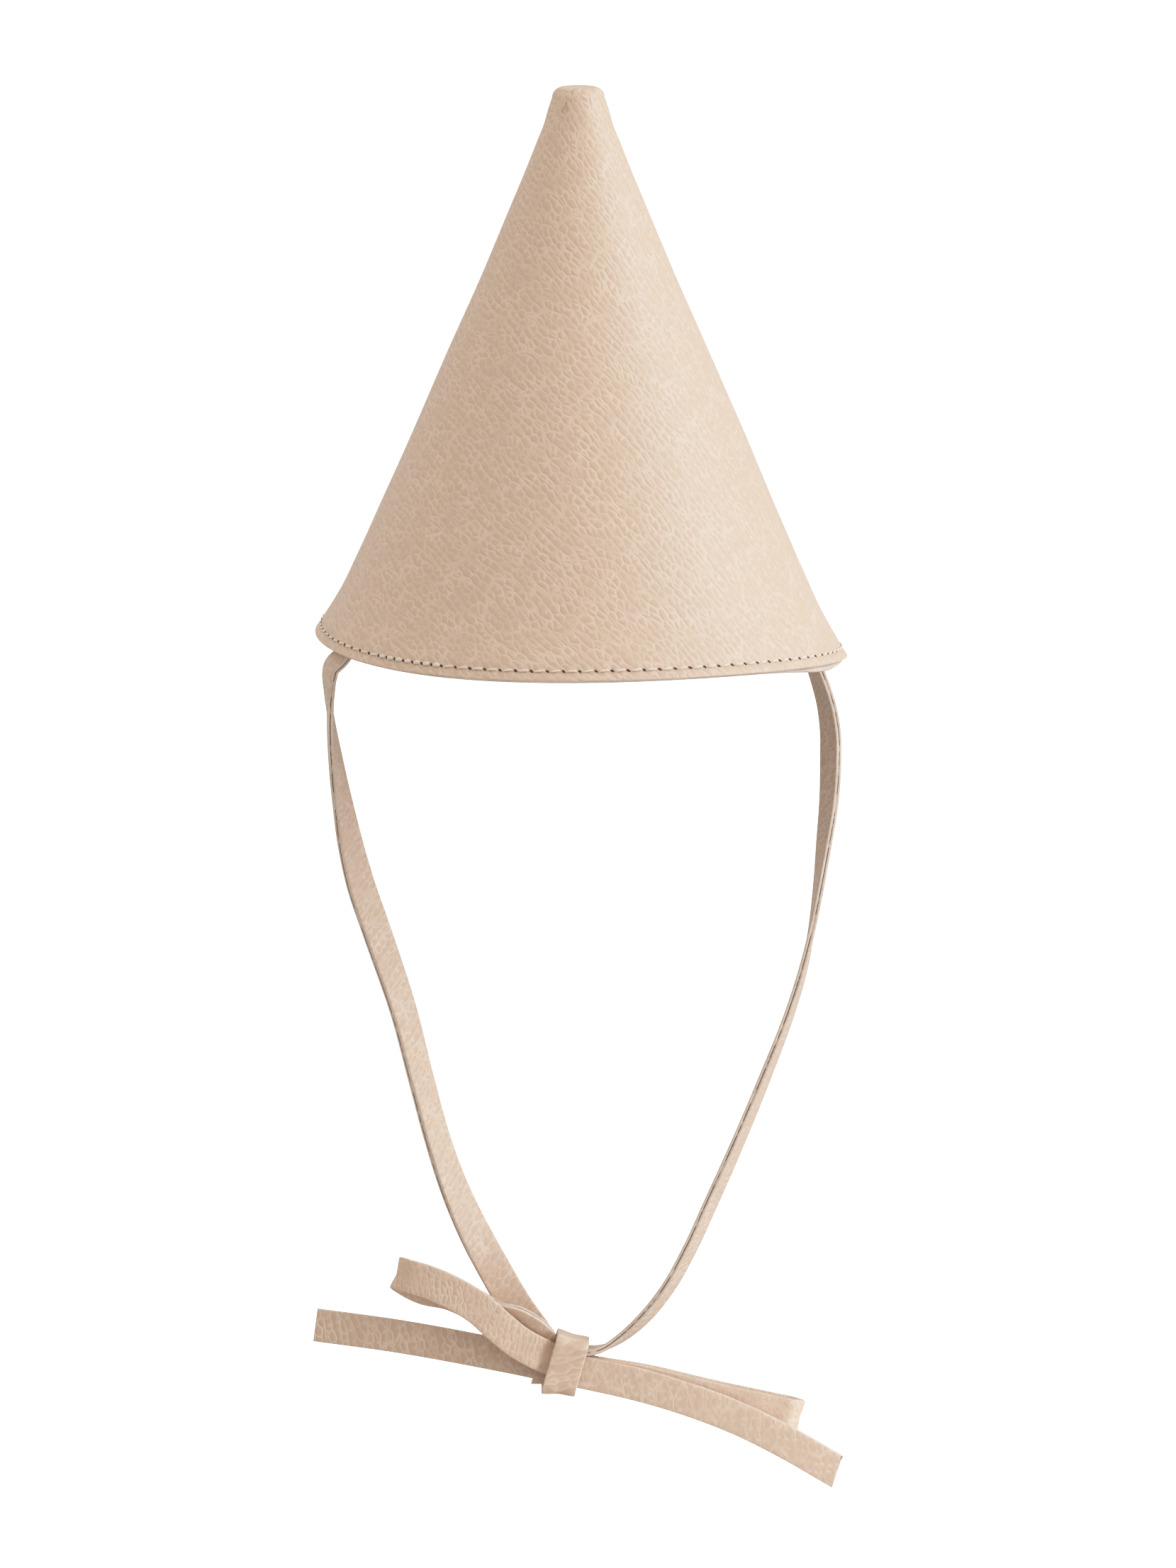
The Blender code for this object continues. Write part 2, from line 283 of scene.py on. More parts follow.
# The wrap round the knot: how far its inside lies up, down and out from the bow's line, and its mesh.
WRAP_INNER_UP = 6.5
WRAP_INNER_DOWN_LEFT = 7.3
WRAP_INNER_DOWN_RIGHT = 5.45
WRAP_INNER_DEPTH = 5.1
WRAP_CORNER = 0.6
WRAP_CORNER_STEPS = 7
WRAP_SIDE_STEPS = 9

# The strap's section and mesh. A bent strap dishes, by up to a limit.
STRAP_CORNER = 0.4
FACE_STEPS = 6
PLY_GROOVE_WIDTH = 0.3
PLY_GROOVE_DEPTH = 0.14
TIE_STEP = 1.0
BOW_STEP = 0.7
DISH = 0.13
LOOP_DISH_LIMIT = 0.25
WRAP_DISH_LIMIT = 0.35
DISH_SMOOTHING = 3

# Indices of a piece's materials: the cone has an inside, a strap a ply line, and the band a plain face.
GRAIN, EDGE, INSIDE = 0, 1, 2
PLY_LINE = 2
PLAIN_FACE = 0

# Rows of the cone's mesh: from this height down, this far apart.
WALL_ROWS = ((155.2, 0.35), (148.0, 1.0), (135.0, 2.0), (10.0, 0.8), (6.0, 0.4), (0.4, 0.4))
TIP_ROWS = 4
CORNER_ROWS = 6
INSIDE_ROW_SKIP = 4

# The mesh of the band inside the rim.
FACING_ROWS = 8
FACING_COLUMNS = 360
FACING_LIP = 0.15
# The band's lower edge: this far above the rim's, but lower near the right, in the middle of a bell.
FACING_RISE = 0.35
FACING_HANG = 1.1
FACING_HANG_ANGLE = math.radians(-20)
FACING_HANG_SPREAD = math.radians(11)

# The rounded cut ends of a strap, and where each strap lies on the sheet of leather.
END_SHRINK = 0.97
END_LIP = 0.12
UV_PLACE = {
    "tie_left_strap": (0.0, 0.0),
    "tie_right_strap": (0.0, 60.0),
    "bow_loop_left_strap": (0.0, 120.0),
    "bow_loop_right_strap": (0.0, 180.0),
    "bow_tail_left_strap": (0.0, 240.0),
    "bow_tail_right_strap": (0.0, 300.0),
    "knot_band": (0.0, 360.0),
    "knot_tuck": (0.0, 420.0),
}

# The grain's pattern on the sheet of leather: which way its cells lie, and their depth in metres.
GRAIN_RANDOMNESS = 0.75
CROWN_GRAIN_TURN = math.radians(-44)
STRAP_GRAIN_TURN = math.radians(66)
CROWN_GRAIN_DEPTH = 0.00009
STRAP_GRAIN_DEPTH = 0.00008
# Noises that warp the pattern: scale, and push in metres.
GRAIN_WARPS = ((45, 0.004), (400, 0.0006))
# Long creases: the size of their cells next to the grain's.
LONG_CELL = (4.5, 2.2)
PATCH_SCALE = 150
HUE_SCALE = 110
PORE_SCALE = 2600
PORE_HEIGHT = 0.2
# Ramps: from this value, to this value, and what they are turned into.
NEAR_EDGE = (0.0, 0.37, 1.0, 0.0)
# The pale crease shows on one side of each cell only, as a painted highlight; the other side gets painted
# shadow.
PAINTED_HIGHLIGHT_SIDE = (-0.3, 0.25, 0.15, 1.0)
PAINTED_SHADOW_SIDE = (-0.35, 0.0, 1.0, 0.0)
LONG_CREASE = (0.0, 0.1, 0.8, 0.0)
PATCH_STRENGTH = (0.3, 0.7, 0.4, 1.0)
HUE_SHARE = (0.3, 0.7, 0.0, 0.5)
FIBRE_TONE = (0.7, 1.3, 0.0, 1.0)
PLY_OPEN = (0.42, 0.5, 0.0, 1.0)
# How much of a crease's colour with its painted highlight, a cell's painted shadow, and the painted shade of
# the pucker and under the stitches shows on the leather.
CROWN_CREASES = 0.78
CROWN_SHADOWS = 0.25
STRAP_CREASES = 0.95
LOOP_CREASES = 0.65
STRAP_SHADOWS = 0.44
PAINTED_SHADE_SHARE = 0.85
# The grain's size next to the cone's, and the leather's brightness next to it.
STRAP_GRAIN = 0.92
LOOP_GRAIN = 0.75
WRAP_GRAIN = 1.25
STRAP_SHADE = 0.98
# The ties and the left tail are a darker copy of the same leather: painted shade.
PAINTED_SHADE_TONE = 0.88
# Shares of a colour, for the paler and darker tones beside it.
DARKER_CELL = 0.96
YELLOWER_CELL = (1.0, 1.02, 0.96)
DARK_FIBRE = 0.8
PALE_FIBRE = 1.08
PLY_EDGE_SHADE = 0.9
DARK_THREAD = 0.82
PALE_HOLE = 1.6

# Finishes: roughness and gloss.
GRAIN_FINISH = (0.5, 0.35)
PLY_FINISH = (0.8, 0.1)
THREAD_FINISH = (0.45, 0.4)
HOLE_FINISH = (0.9, 0.05)
FLOOR_FINISH = (0.9, 0.0)
PLAIN_GLOSS = 0.25
# Plain leather: scale of its fibres, roughness, and depth in metres.
CUT_EDGE = (900, 0.7, 0.00005)
INNER_FACE = (1100, 0.85, 0.00006)
# Noises: scale, detail and roughness. Plain leather's patches are this many times the fibres' size.
FIBRE_NOISE = (4.0, 0.65)
FIBRE_PATCHES = 12
PLY_NOISE = (120, 3.0, 0.7)
THREAD_SCALE = 2200
THREAD_DEPTH = 0.00008
THREAD_SHEEN = 0.2
HOLE_SCALE = 1800

# The shape of one stitch and one hole, and how they lie. Rise and sink are shares of the thickness.
THREAD_ROWS = 11
THREAD_SIDES = 8
THREAD_TAPER = 0.14
THREAD_TWIST = 2.2
PLY_LOBE = 0.12
THREAD_RISE = 0.3
THREAD_SINK = 0.4
HOLE_SIDES = 10
HOLE_ROWS = 6
HOLE_LIFT = 0.1
HOLE_SLANT = math.radians(-38)
STITCH_SLANT = math.radians(7)
STITCH_UNEVEN = 0.07
CHANNEL_SEEN = 0.8

# The stage, in metres. The sky's light turns into the ground's between two heights of the world.
FLOOR_RADIUS = 20
FLOOR_SIDES = 64
FLOOR_WHITE = (0.9, 0.9, 0.9)
FLOOR_GLOW = 2.2
CLIP_END = 100
HORIZON = (-0.5, 0.4)
COOL_LIGHT = (0.89, 0.94, 1.0)
WARM_LIGHT = (1.0, 0.985, 0.955)
# The lights: tint, size, degrees round to the right of the front, degrees up, and distance.
KEY_LIGHT = (COOL_LIGHT, 1.1, 77, 26, 1.6)
FILL_LIGHT = (WARM_LIGHT, 1.4, -55, 20, 1.8)
LOW_LIGHT = (COOL_LIGHT, 0.12, 60, -10, 0.25)
# The point that the low light faces, in the bow's columns.
LOW_LIGHT_AIM = (40, 0, 0)

# The picture's tones: light from the scene, and the tone that it is given.
TONE_RANGE = 2.0
TONES = (
    (0.20, 0.20),
    (0.40, 0.398),
    (0.53, 0.513),
    (0.72, 0.66),
    (0.88, 0.752),
    (1.10, 0.845),
    (1.40, 0.93),
)


def length(name, description, default):
    return FloatProperty(
        name=name, description=description, default=default, precision=5, subtype="DISTANCE", unit="LENGTH"
    )


def colour(name, description, default):
    return FloatVectorProperty(
        name=name, description=description, default=default, size=3, min=0, max=1, subtype="COLOR"
    )


def watts(name, description, default):
    return FloatProperty(name=name, description=description, default=default, unit="POWER")


class HatSizes(bpy.types.PropertyGroup):
    """Sizes of the leather."""

    crown_height: length("Crown height", "Height of the cone above its rim", CAD_BOX[1][2])
    crown_wall: length("Crown wall", "Thickness of the cone's leather", 0.0013)
    facing_wall: length("Facing wall", "Thickness of the band inside the rim", 0.001)
    facing_height: length("Facing height", "Height of the band inside the rim", 0.012)
    strap_width: length("Strap width", "Width of the ties and the bow", 0.0094)
    strap_thickness: length("Strap thickness", "Thickness of the strap's two plies together", 0.002)
    wrap_width: length("Wrap width", "Width of the strap that goes round the knot", 0.0094)
    wrap_thickness: length("Wrap thickness", "Thickness of the strap that goes round the knot", 0.0018)
    grain_length: length("Grain length", "Length of one cell of the leather's grain", 0.0031)
    grain_width: length("Grain width", "Width of one cell of the leather's grain", 0.0021)


class HatStitching(bpy.types.PropertyGroup):
    """Sizes of the row of stitches round the rim."""

    row_height: length("Row height", "Height of the stitches above the rim's edge", 0.0026)
    pitch: length("Pitch", "Distance from one hole to the next", 0.00455)
    doubled_pitch: length("Doubled pitch", "Distance between holes where the row is sewn twice", 0.0034)
    thread: length("Thread", "Thickness of the thread", 0.00066)
    doubled_thread: length("Doubled thread", "Thickness of the thread where the row is sewn twice", 0.0011)
    stitch_share: FloatProperty(
        name="Stitch length",
        description="Share of the pitch that a stitch covers",
        default=0.74,
        subtype="FACTOR",
    )
    hole_length: length("Hole length", "Length of the slanted hole between stitches", 0.0012)
    hole_width: length("Hole width", "Width of the slanted hole between stitches", 0.00065)
    seed: IntProperty(name="Seed", description="Seed for the small unevenness of the stitches", default=7)


class HatColours(bpy.types.PropertyGroup):
    """Colours of the leather and the thread."""

    cell: colour("Grain cell", "Leather between the creases of the grain", (0.60, 0.408, 0.295))
    # The crease colour is also the painted highlight along one side of each grain cell.
    crease_and_highlight: colour("Grain crease", "Pale creases of the grain", (0.755, 0.56, 0.44))
    # The colour of painted shade: on one side of each grain cell, in the pucker's creases and under the
    # stitches.
    mark: colour("Mark", "Dark strokes where the leather is pinched", (0.40, 0.29, 0.21))
    inside: colour("Inside", "Inner face of the leather", (0.46, 0.33, 0.27))
    edge: colour("Cut edge", "Raw cut edge of the leather", (0.64, 0.50, 0.405))
    ply_line: colour("Ply line", "Broken dark line between the strap's two plies", (0.16, 0.105, 0.075))
    thread: colour("Thread", "Waxed thread of the stitches", (0.83, 0.70, 0.58))
    # The colour of the painted shade in each stitch hole.
    hole: colour("Hole", "Inside of a stitch hole", (0.07, 0.038, 0.022))


class HatStage(bpy.types.PropertyGroup):
    """The camera, the lights and the floor."""

    elevation: FloatProperty(
        name="Elevation",
        description="Camera's angle above the hat",
        default=math.radians(8.3),
        subtype="ANGLE",
    )
    distance: length("Distance", "Camera's distance from the hat", 12.0)
    view_height: length("View height", "Height that the picture takes in at the hat", 0.4424)
    aim: FloatVectorProperty(
        name="Aim",
        description="Point in the middle of the picture",
        default=(0.0017, 0, -0.0401),
        subtype="TRANSLATION",
    )
    floor_gap: length("Floor gap", "Distance from the bow down to the floor", 0.06)
    key_power: watts("Key light", "Power of the light on the right", 26)
    fill_power: watts("Fill light", "Power of the light on the left", 2.6)
    low_power: watts("Low light", "Power of the light by the bow", 0.52)
    sky: FloatProperty(name="Sky", description="Strength of the light from above", default=0.95)
    ground: FloatProperty(name="Ground", description="Strength of the light from below", default=0.58)


def sizes():
    return bpy.context.scene.hat_sizes


def stitching():
    return bpy.context.scene.hat_stitching


def colours():
    return bpy.context.scene.hat_colours


def smooth_rows(rows, step):
    """The rows again, about step apart along one smooth curve through all of them."""
    rows = np.array(rows, float)
    knots = run_length(rows[:, :3])
    slopes = np.gradient(rows, knots, axis=0)
    at = np.linspace(0, knots[-1], max(2, round(knots[-1] / step) + 1))
    i = np.clip(np.searchsorted(knots, at, side="right") - 1, 0, len(rows) - 2)
    span = (knots[i + 1] - knots[i])[:, None]
    t = (at - knots[i])[:, None] / span
    return (
        (2 * t**3 - 3 * t**2 + 1) * rows[i]
        + (t**3 - 2 * t**2 + t) * span * slopes[i]
        + (3 * t**2 - 2 * t**3) * rows[i + 1]
        + (t**3 - t**2) * span * slopes[i + 1]
    )


def unit(vectors):
    return vectors / np.linalg.norm(vectors, axis=-1, keepdims=True)


def together(*values):
    """Arrays of one shape, or of shapes that fit, put together along a new last axis."""
    return np.stack(np.broadcast_arrays(*values), axis=-1)


def run_length(points):
    """How far along a line each of its points lies."""
    return np.concatenate([[0], np.cumsum(np.linalg.norm(np.diff(points, axis=0), axis=1))])


def settled(points):
    """Points round the cone's axis, once the rim has its tilt, twist and slide."""
    x, y, z = np.moveaxis(np.asarray(points, float), -1, 0)
    angle = np.arctan2(y, x)
    fade = np.clip(1 - np.maximum(z, 0) / RIM_FADE_HEIGHT, 0, 1) ** RIM_FADE_POWER
    drop = RIM_TILT * np.cos(angle) + RIM_TWIST * np.sin(2 * angle)
    return np.stack([x + CROWN_AXIS_X + RIM_SLIDE * fade, y, z - drop * fade], axis=-1)


def turned(profile, angles):
    """Points of a profile of (radius, height), turned round the cone's axis and settled."""
    radius, height = profile[..., 0], profile[..., 1]
    return settled(together(radius * np.cos(angles), radius * np.sin(angles), height))


def bell(distance, spread):
    return np.exp(-0.5 * (distance / spread) ** 2)


def loft(name, rings, uv, parts, materials, painted_shade_marks=None):
    """A closed mesh of quads between rings of points in millimetres, [ring, point, xyz].

    uv has one more column than rings, and one more row where the last ring joins the first.
    parts gives each quad's material. Points that lie on each other are welded.
    """
    count, around = rings.shape[:2]
    i, j = np.meshgrid(np.arange(len(parts)), np.arange(around), indexing="ij")
    below, beside = (i + 1) % count, (j + 1) % around
    corners = np.stack([i * around + j, i * around + beside, below * around + beside, below * around + j], -1)
    corner_uv = np.stack([uv[i, j], uv[i, j + 1], uv[i + 1, j + 1], uv[i + 1, j]], -2)
    mesh = bpy.data.meshes.new(name)
    mesh.from_pydata((rings.reshape(-1, 3) * MM).tolist(), [], corners.reshape(-1, 4).tolist())
    mesh.polygons.foreach_set("material_index", np.broadcast_to(parts, i.shape).ravel().astype(np.int32))
    layer = mesh.uv_layers.new(name="leather")
    layer.data.foreach_set("uv", (corner_uv * MM).ravel().astype(np.float32))
    # The cone's painted shade, as a point attribute.
    if painted_shade_marks is not None:
        attribute = mesh.attributes.new("mark", "FLOAT", "POINT")
        attribute.data.foreach_set("value", painted_shade_marks.ravel().astype(np.float32))
    for material in materials:
        mesh.materials.append(material)
    cleaned = bmesh.new()
    cleaned.from_mesh(mesh)
    bmesh.ops.remove_doubles(cleaned, verts=cleaned.verts, dist=WELD)
    bmesh.ops.recalc_face_normals(cleaned, faces=cleaned.faces)
    cleaned.to_mesh(mesh)
    cleaned.free()
    mesh.shade_smooth()
    return mesh


def piece(name, mesh, slot, *nodes):
    """The finished object of a mesh, riding on the hat and standing for its nodes."""
    made = bpy.data.objects.new(name, mesh)
    bpy.context.scene.collection.objects.link(made)
    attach(made, BODY)
    if nodes:
        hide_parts(*nodes)
    return made


def wall_radius(height):
    """The cone's outer radius at a height above the rim."""
    fine = smooth_rows([(h, r, 0.0) for h, r in CROWN_PROFILE], 0.5)
    return np.interp(height, fine[:, 0], fine[:, 1])


def wall_heights():
    """Heights of the wall's rows from the tip's corner down, close together where detail is."""
    heights = []
    for (high, step), (low, _) in zip(WALL_ROWS[:-1], WALL_ROWS[1:]):
        heights.append(np.arange(high, low + step / 2, -step))
    return np.concatenate(heights)


def crown_outline(top):
    """The cone's outside from the middle of its tip to its rim, as points (radius, height)."""
    flat = TIP_RADIUS - TIP_CORNER
    tip = [(radius, top) for radius in np.linspace(0, flat, TIP_ROWS, endpoint=False)]
    quarter = np.radians(np.linspace(90, 0, CORNER_ROWS, endpoint=False))
    corner = [(flat + TIP_CORNER * math.cos(a), top - TIP_CORNER + TIP_CORNER * math.sin(a)) for a in quarter]
    heights = np.append(wall_heights(), 0.0)
    return np.array(tip + corner + list(zip(wall_radius(heights), heights)))


def wall_wave(points):
    """Soft unevenness of the hand-shaped wall, which fades out towards the rim and the tip."""
    waves = np.array([noise.noise(Vector(p / WAVE_SIZE)) for p in points.reshape(-1, 3)])
    rise = np.clip((points[..., 2] - WAVE_START) / (WAVE_FULL - WAVE_START), 0, 1)
    girth = np.clip(np.hypot(points[..., 0], points[..., 1]) / WAVE_FULL, 0, 1)
    return WAVE_DEPTH * waves.reshape(points.shape[:2]) * rise * girth


def rim_dents(height, angles):
    """How deep the row of stitches pulls the leather in."""
    row = stitching().row_height / MM
    radius = wall_radius(row)
    step = stitching().pitch / MM / radius
    from_middle = np.abs((angles - DOUBLED_TO) / step % 1 - 0.5)
    across = bell(height - row, CHANNEL_SPREAD)
    return across * (CHANNEL_DEPTH + HOLE_DENT * bell((0.5 - from_middle) * step * radius, HOLE_SPREAD))


def stroke_distance(across, up, start, end):
    """Distance from a straight stroke on the wall."""
    start, end = np.array(start), np.array(end)
    line = end - start
    t = np.clip(((across - start[0]) * line[0] + (up - start[1]) * line[1]) / line.dot(line), 0, 1)
    return np.hypot(across - start[0] - t * line[0], up - start[1] - t * line[1])


def pucker(radius, height, angles):
    """The pinched strokes near the tip, 1 in their middle."""
    across = radius * ((angles - PUCKER_ANGLE + math.pi) % (2 * math.pi) - math.pi)
    up = height - PUCKER_HEIGHT
    near = [stroke_distance(across, up, start, end) for start, end in PUCKER_STROKES]
    return bell(np.min(near, axis=0), PUCKER_SPREAD)


def seam_line(radius, height, angles):
    """The closed seam down the cone's back, 1 in its middle."""
    across = radius * np.abs((angles - SEAM_ANGLE + math.pi) % (2 * math.pi) - math.pi)
    return bell(across, SEAM_SPREAD) * np.clip((SEAM_TOP - height) / SEAM_SPREAD / SEAM_FADE, 0, 1)


def column_angles():
    """Angles of the crown's columns, once round from the seam at its back, closer beside it."""
    even = np.linspace(0, 2 * math.pi, COLUMNS, endpoint=False)
    beside = np.radians(SEAM_COLUMNS)
    return SEAM_ANGLE - 2 * math.pi + np.unique(np.concatenate([even, beside, 2 * math.pi - beside]))


def sheet_place(distance, from_front):
    """Where a point of the cone lies on the flat sheet that it was rolled from."""
    turn = from_front * CONE_SINE
    return np.stack([distance * np.sin(turn), -distance * np.cos(turn)], axis=-1)


def crown_mesh(name, materials):
    """The cone's wall: outside, the rounded cut at the rim, and inside."""
    wall = sizes().crown_wall / MM
    outline = crown_outline(sizes().crown_height / MM)
    along = unit(np.gradient(outline, axis=0))
    inward = np.stack([along[:, 1], -along[:, 0]], axis=-1)
    run = run_length(outline)
    angles = column_angles()
    from_front = np.append(angles, SEAM_ANGLE) - (SEAM_ANGLE - math.pi)
    break_row = TIP_ROWS + CORNER_ROWS // 2

    radius, height = outline[:, :1], outline[:, 1:]
    wave = wall_wave(together(radius * np.cos(angles), radius * np.sin(angles), height))
    pinch = pucker(radius, height, angles)
    seam = seam_line(radius, height, angles)
    push = wave - rim_dents(height, angles) - PUCKER_DEPTH * pinch - SEAM_DEPTH * seam
    outside = outline[:, None] - inward[:, None] * push[..., None]

    end, down, inner = outline[-1], along[-1], inward[-1]
    turns = np.radians(np.linspace(0, 90, LIP_STEPS + 1))[:, None]
    outer_lip = end + (inner - down) * LIP - inner * LIP * np.cos(turns) + down * LIP * np.sin(turns)
    inner_lip = (
        end + inner * (wall - LIP) - down * LIP + down * LIP * np.cos(turns) + inner * LIP * np.sin(turns)
    )
    lip = np.concatenate([outer_lip, inner_lip])
    keep = run < run[-1] - 2 * LIP
    upward = np.flatnonzero(keep)[::-INSIDE_ROW_SKIP]
    if upward[-1] != 0:
        upward = np.append(upward, 0)
    inner_wall = outline[upward] + inward[upward] * wall
    inside = inner_wall[:, None] - inward[upward][:, None] * wave[upward][..., None]
    inside[-1, :, 0] = 0

    across = np.ones(len(angles))[None, :, None]
    profile = np.concatenate([outside[keep], lip[:, None] * across, inside])
    rings = turned(profile, angles)

    places = sheet_place((run + TIP_RADIUS / CONE_SINE)[:, None], from_front)
    cap = run[:, None]
    tip_places = together(cap * np.sin(from_front), -cap * np.cos(from_front))
    outer_places = places[keep]
    outer_places[:break_row] = tip_places[:break_row]
    lip_places = np.repeat(places[-1:], len(lip), axis=0)
    uv = np.concatenate([outer_places, lip_places, places[upward]])
    # Painted shade: in the pucker's pinched strokes, and a painted shadow under the row of stitches.
    painted_shade_marks = np.zeros(rings.shape[:2])
    under = bell(height - stitching().row_height / MM + PAINTED_THREAD_SHADOW_DROP, PAINTED_THREAD_SHADOW_SPREAD)
    painted_shade_marks[: keep.sum()] = np.maximum(pinch, PAINTED_THREAD_SHADOW * under)[keep]

    # The tip's pattern and the wall's meet at one ring, which is there twice and then welded.
    rings = np.insert(rings, break_row, rings[break_row], axis=0)
    painted_shade_marks = np.insert(painted_shade_marks, break_row, painted_shade_marks[break_row], axis=0)
    uv = np.insert(uv, break_row, tip_places[break_row], axis=0)
    first_cut = keep.sum() + 1 + LIP_STEPS // 2
    last_cut = keep.sum() + 1 + len(lip) - LIP_STEPS // 2
    parts = np.full((len(rings) - 1, 1), INSIDE)
    parts[:first_cut] = GRAIN
    parts[first_cut:last_cut] = EDGE
    return loft(name, rings, uv, parts, materials, painted_shade_marks)


def wall_point(height, depth):
    """The point (radius, height) this far inside the cone's outside, square to its wall."""
    wall = sizes().crown_wall / MM
    above = height + wall
    below = np.maximum(height - wall, 0)
    lean = np.arctan2(wall_radius(below) - wall_radius(above), above - below)
    return np.stack([wall_radius(height) - depth * np.cos(lean), height - depth * np.sin(lean)], axis=-1)


def facing_mesh(name, materials):
    """The band inside the rim, with its cut edge below and a thinned edge above."""
    top = sizes().facing_height / MM
    outer = sizes().crown_wall / MM + GAP
    inner = outer + sizes().facing_wall / MM
    middle = (outer + inner) / 2
    heights = np.linspace(FACING_LIP, top - FACING_LIP, FACING_ROWS)
    height = np.concatenate([heights, [top, top], heights[::-1], [0, 0]])
    lips = [middle - FACING_LIP, middle + FACING_LIP], [inner - FACING_LIP, outer + FACING_LIP]
    depth = np.concatenate([0 * heights + outer, lips[0], 0 * heights + inner, lips[1]])
    loop = wall_point(height, depth)
    angles = np.linspace(-math.pi, math.pi, FACING_COLUMNS, endpoint=False)
    rise = FACING_RISE - (FACING_RISE + FACING_HANG) * bell(angles - FACING_HANG_ANGLE, FACING_HANG_SPREAD)
    height = height[:, None]
    rings = turned(wall_point(height + rise * (1 - height / top), depth[:, None]), angles)
    run = run_length(np.vstack([loop, loop[:1]]))
    around = np.append(angles, math.pi) * loop[0, 0]
    uv = together(around, run[:, None])
    parts = np.full((len(loop), 1), PLAIN_FACE)
    parts[-3:] = EDGE
    parts[0] = EDGE
    return loft(name, rings, uv, parts, materials)


def strap_section(width, thickness):
    """A strap's section: points (across, through), and the material after each point."""
    half, deep = width / 2, thickness / 2
    groove, dip, corner = PLY_GROOVE_WIDTH / 2, PLY_GROOVE_DEPTH, STRAP_CORNER
    quarter = np.radians([90, 60, 30, 0])
    points, parts = [], []
    for side in (1, -1):
        for across in np.linspace(-(half - corner), half - corner, FACE_STEPS + 1)[:-1]:
            points.append((side * across, side * deep))
            parts.append(GRAIN)
        for turn, part in zip(quarter, (GRAIN, GRAIN, EDGE, EDGE)):
            at = (half - corner + corner * math.cos(turn), deep - corner + corner * math.sin(turn))
            points.append((side * at[0], side * at[1]))
            parts.append(part)
        for across, through, part in (
            (half, groove, PLY_LINE),
            (half - dip, 0.0, PLY_LINE),
            (half, -groove, EDGE),
            (half, -(deep - corner), EDGE),
        ):
            points.append((side * across, side * through))
            parts.append(part)
        for turn in quarter[2:0:-1]:
            at = (half - corner + corner * math.cos(turn), -(deep - corner + corner * math.sin(turn)))
            points.append((side * at[0], side * at[1]))
            parts.append(GRAIN)
    return np.array(points), np.array(parts)


def smoothed(values, closed):
    mode = "wrap" if closed else "edge"
    kernel = np.ones(2 * DISH_SMOOTHING + 1) / (2 * DISH_SMOOTHING + 1)
    return np.convolve(np.pad(values, DISH_SMOOTHING, mode=mode), kernel, "valid")


def neighbours(values, closed):
    """Half the difference between each row's neighbours."""
    if closed:
        return (np.roll(values, -1, axis=0) - np.roll(values, 1, axis=0)) / 2
    return np.gradient(values, axis=0)


def strap_rings(left, right, section, dish_limit=0.0, closed=False):
    """Rings of a strap whose edges run along left and right, rows of points.

    A bent strap dishes: its edges stand off the bend, further where the bend is tighter.
    """
    middle = (left + right) / 2
    half = np.linalg.norm(right - left, axis=1)[:, None] / 2
    along = unit(neighbours(middle, closed))
    edge = unit(right - left)
    face = unit(np.cross(edge, along))
    step = np.linalg.norm(neighbours(middle, closed), axis=1)
    bend = np.einsum("ij,ij->i", neighbours(along, closed), face) / step
    bend = smoothed(bend, closed)
    across, through = section[:, 0], section[:, 1]
    share = across / np.abs(across).max()
    dish = np.zeros((len(bend), len(across)))
    if dish_limit:
        dish = -dish_limit * np.tanh(DISH * bend[:, None] * across**2 / dish_limit)
    lift = (through + dish)[..., None] * face[:, None]
    return middle[:, None] + (share * half)[..., None] * edge[:, None] + lift


def strap_mesh(name, rings, section, parts, materials, closed=False):
    """The mesh of a strap's rings, with both ends closed by a rounded cut unless it is a ring."""
    around = run_length(np.vstack([section, section[:1]]))
    middles = rings.mean(axis=1)
    parts = np.broadcast_to(parts, (len(rings), len(section)))
    if closed:
        middles = np.vstack([middles, middles[:1]])
    else:
        ends = []
        for ring, out in ((rings[0], middles[0] - middles[1]), (rings[-1], middles[-1] - middles[-2])):
            centre = ring.mean(axis=0)
            lip = centre + (ring - centre) * END_SHRINK + unit(out) * END_LIP
            ends.append((lip, np.broadcast_to(lip.mean(axis=0), lip.shape)))
        rings = np.concatenate([[ends[0][1], ends[0][0]], rings, [ends[1][0], ends[1][1]]])
        cut = np.full((2, len(section)), EDGE)
        parts = np.concatenate([cut, parts[:-1], cut])
        middles = np.vstack([middles[:1], middles[:1], middles, middles[-1:], middles[-1:]])
    uv = together(run_length(middles)[:, None], around)
    return loft(name, rings, uv + UV_PLACE[name], parts, materials)


def strap_edges(rows, across, end_cut=0.0):
    """The left and right edges of a strap along rows of (x, y, z, turn in degrees)."""
    middle = rows[:, :3]
    along = unit(np.gradient(middle, axis=0))
    flat = unit(across - along * (along @ across)[:, None])
    turn = np.radians(rows[:, 3:])
    edge = flat * np.cos(turn) + np.cross(along, flat) * np.sin(turn)
    shift = edge * sizes().strap_width / MM / 2
    left, right = middle - shift, middle + shift
    slant = math.tan(end_cut) * sizes().strap_width / MM / 2
    left[-1] -= along[-1] * slant
    right[-1] += along[-1] * slant
    return left, right


def make_strap(node_name, rows, across, step, dish_limit=0.0, end_cut=0.0, materials=None):
    """The strap along the rows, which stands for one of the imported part's nodes."""
    rows = smooth_rows(rows, step)
    left, right = strap_edges(rows, np.array(across), end_cut)
    section, parts = strap_section(sizes().strap_width / MM, sizes().strap_thickness / MM)
    rings = strap_rings(left, right, section, dish_limit)
    name = node_name + "_strap"
    mesh = strap_mesh(name, rings, section, parts, materials or strap_materials())
    return piece(name, mesh, "strap_leather", node_name)


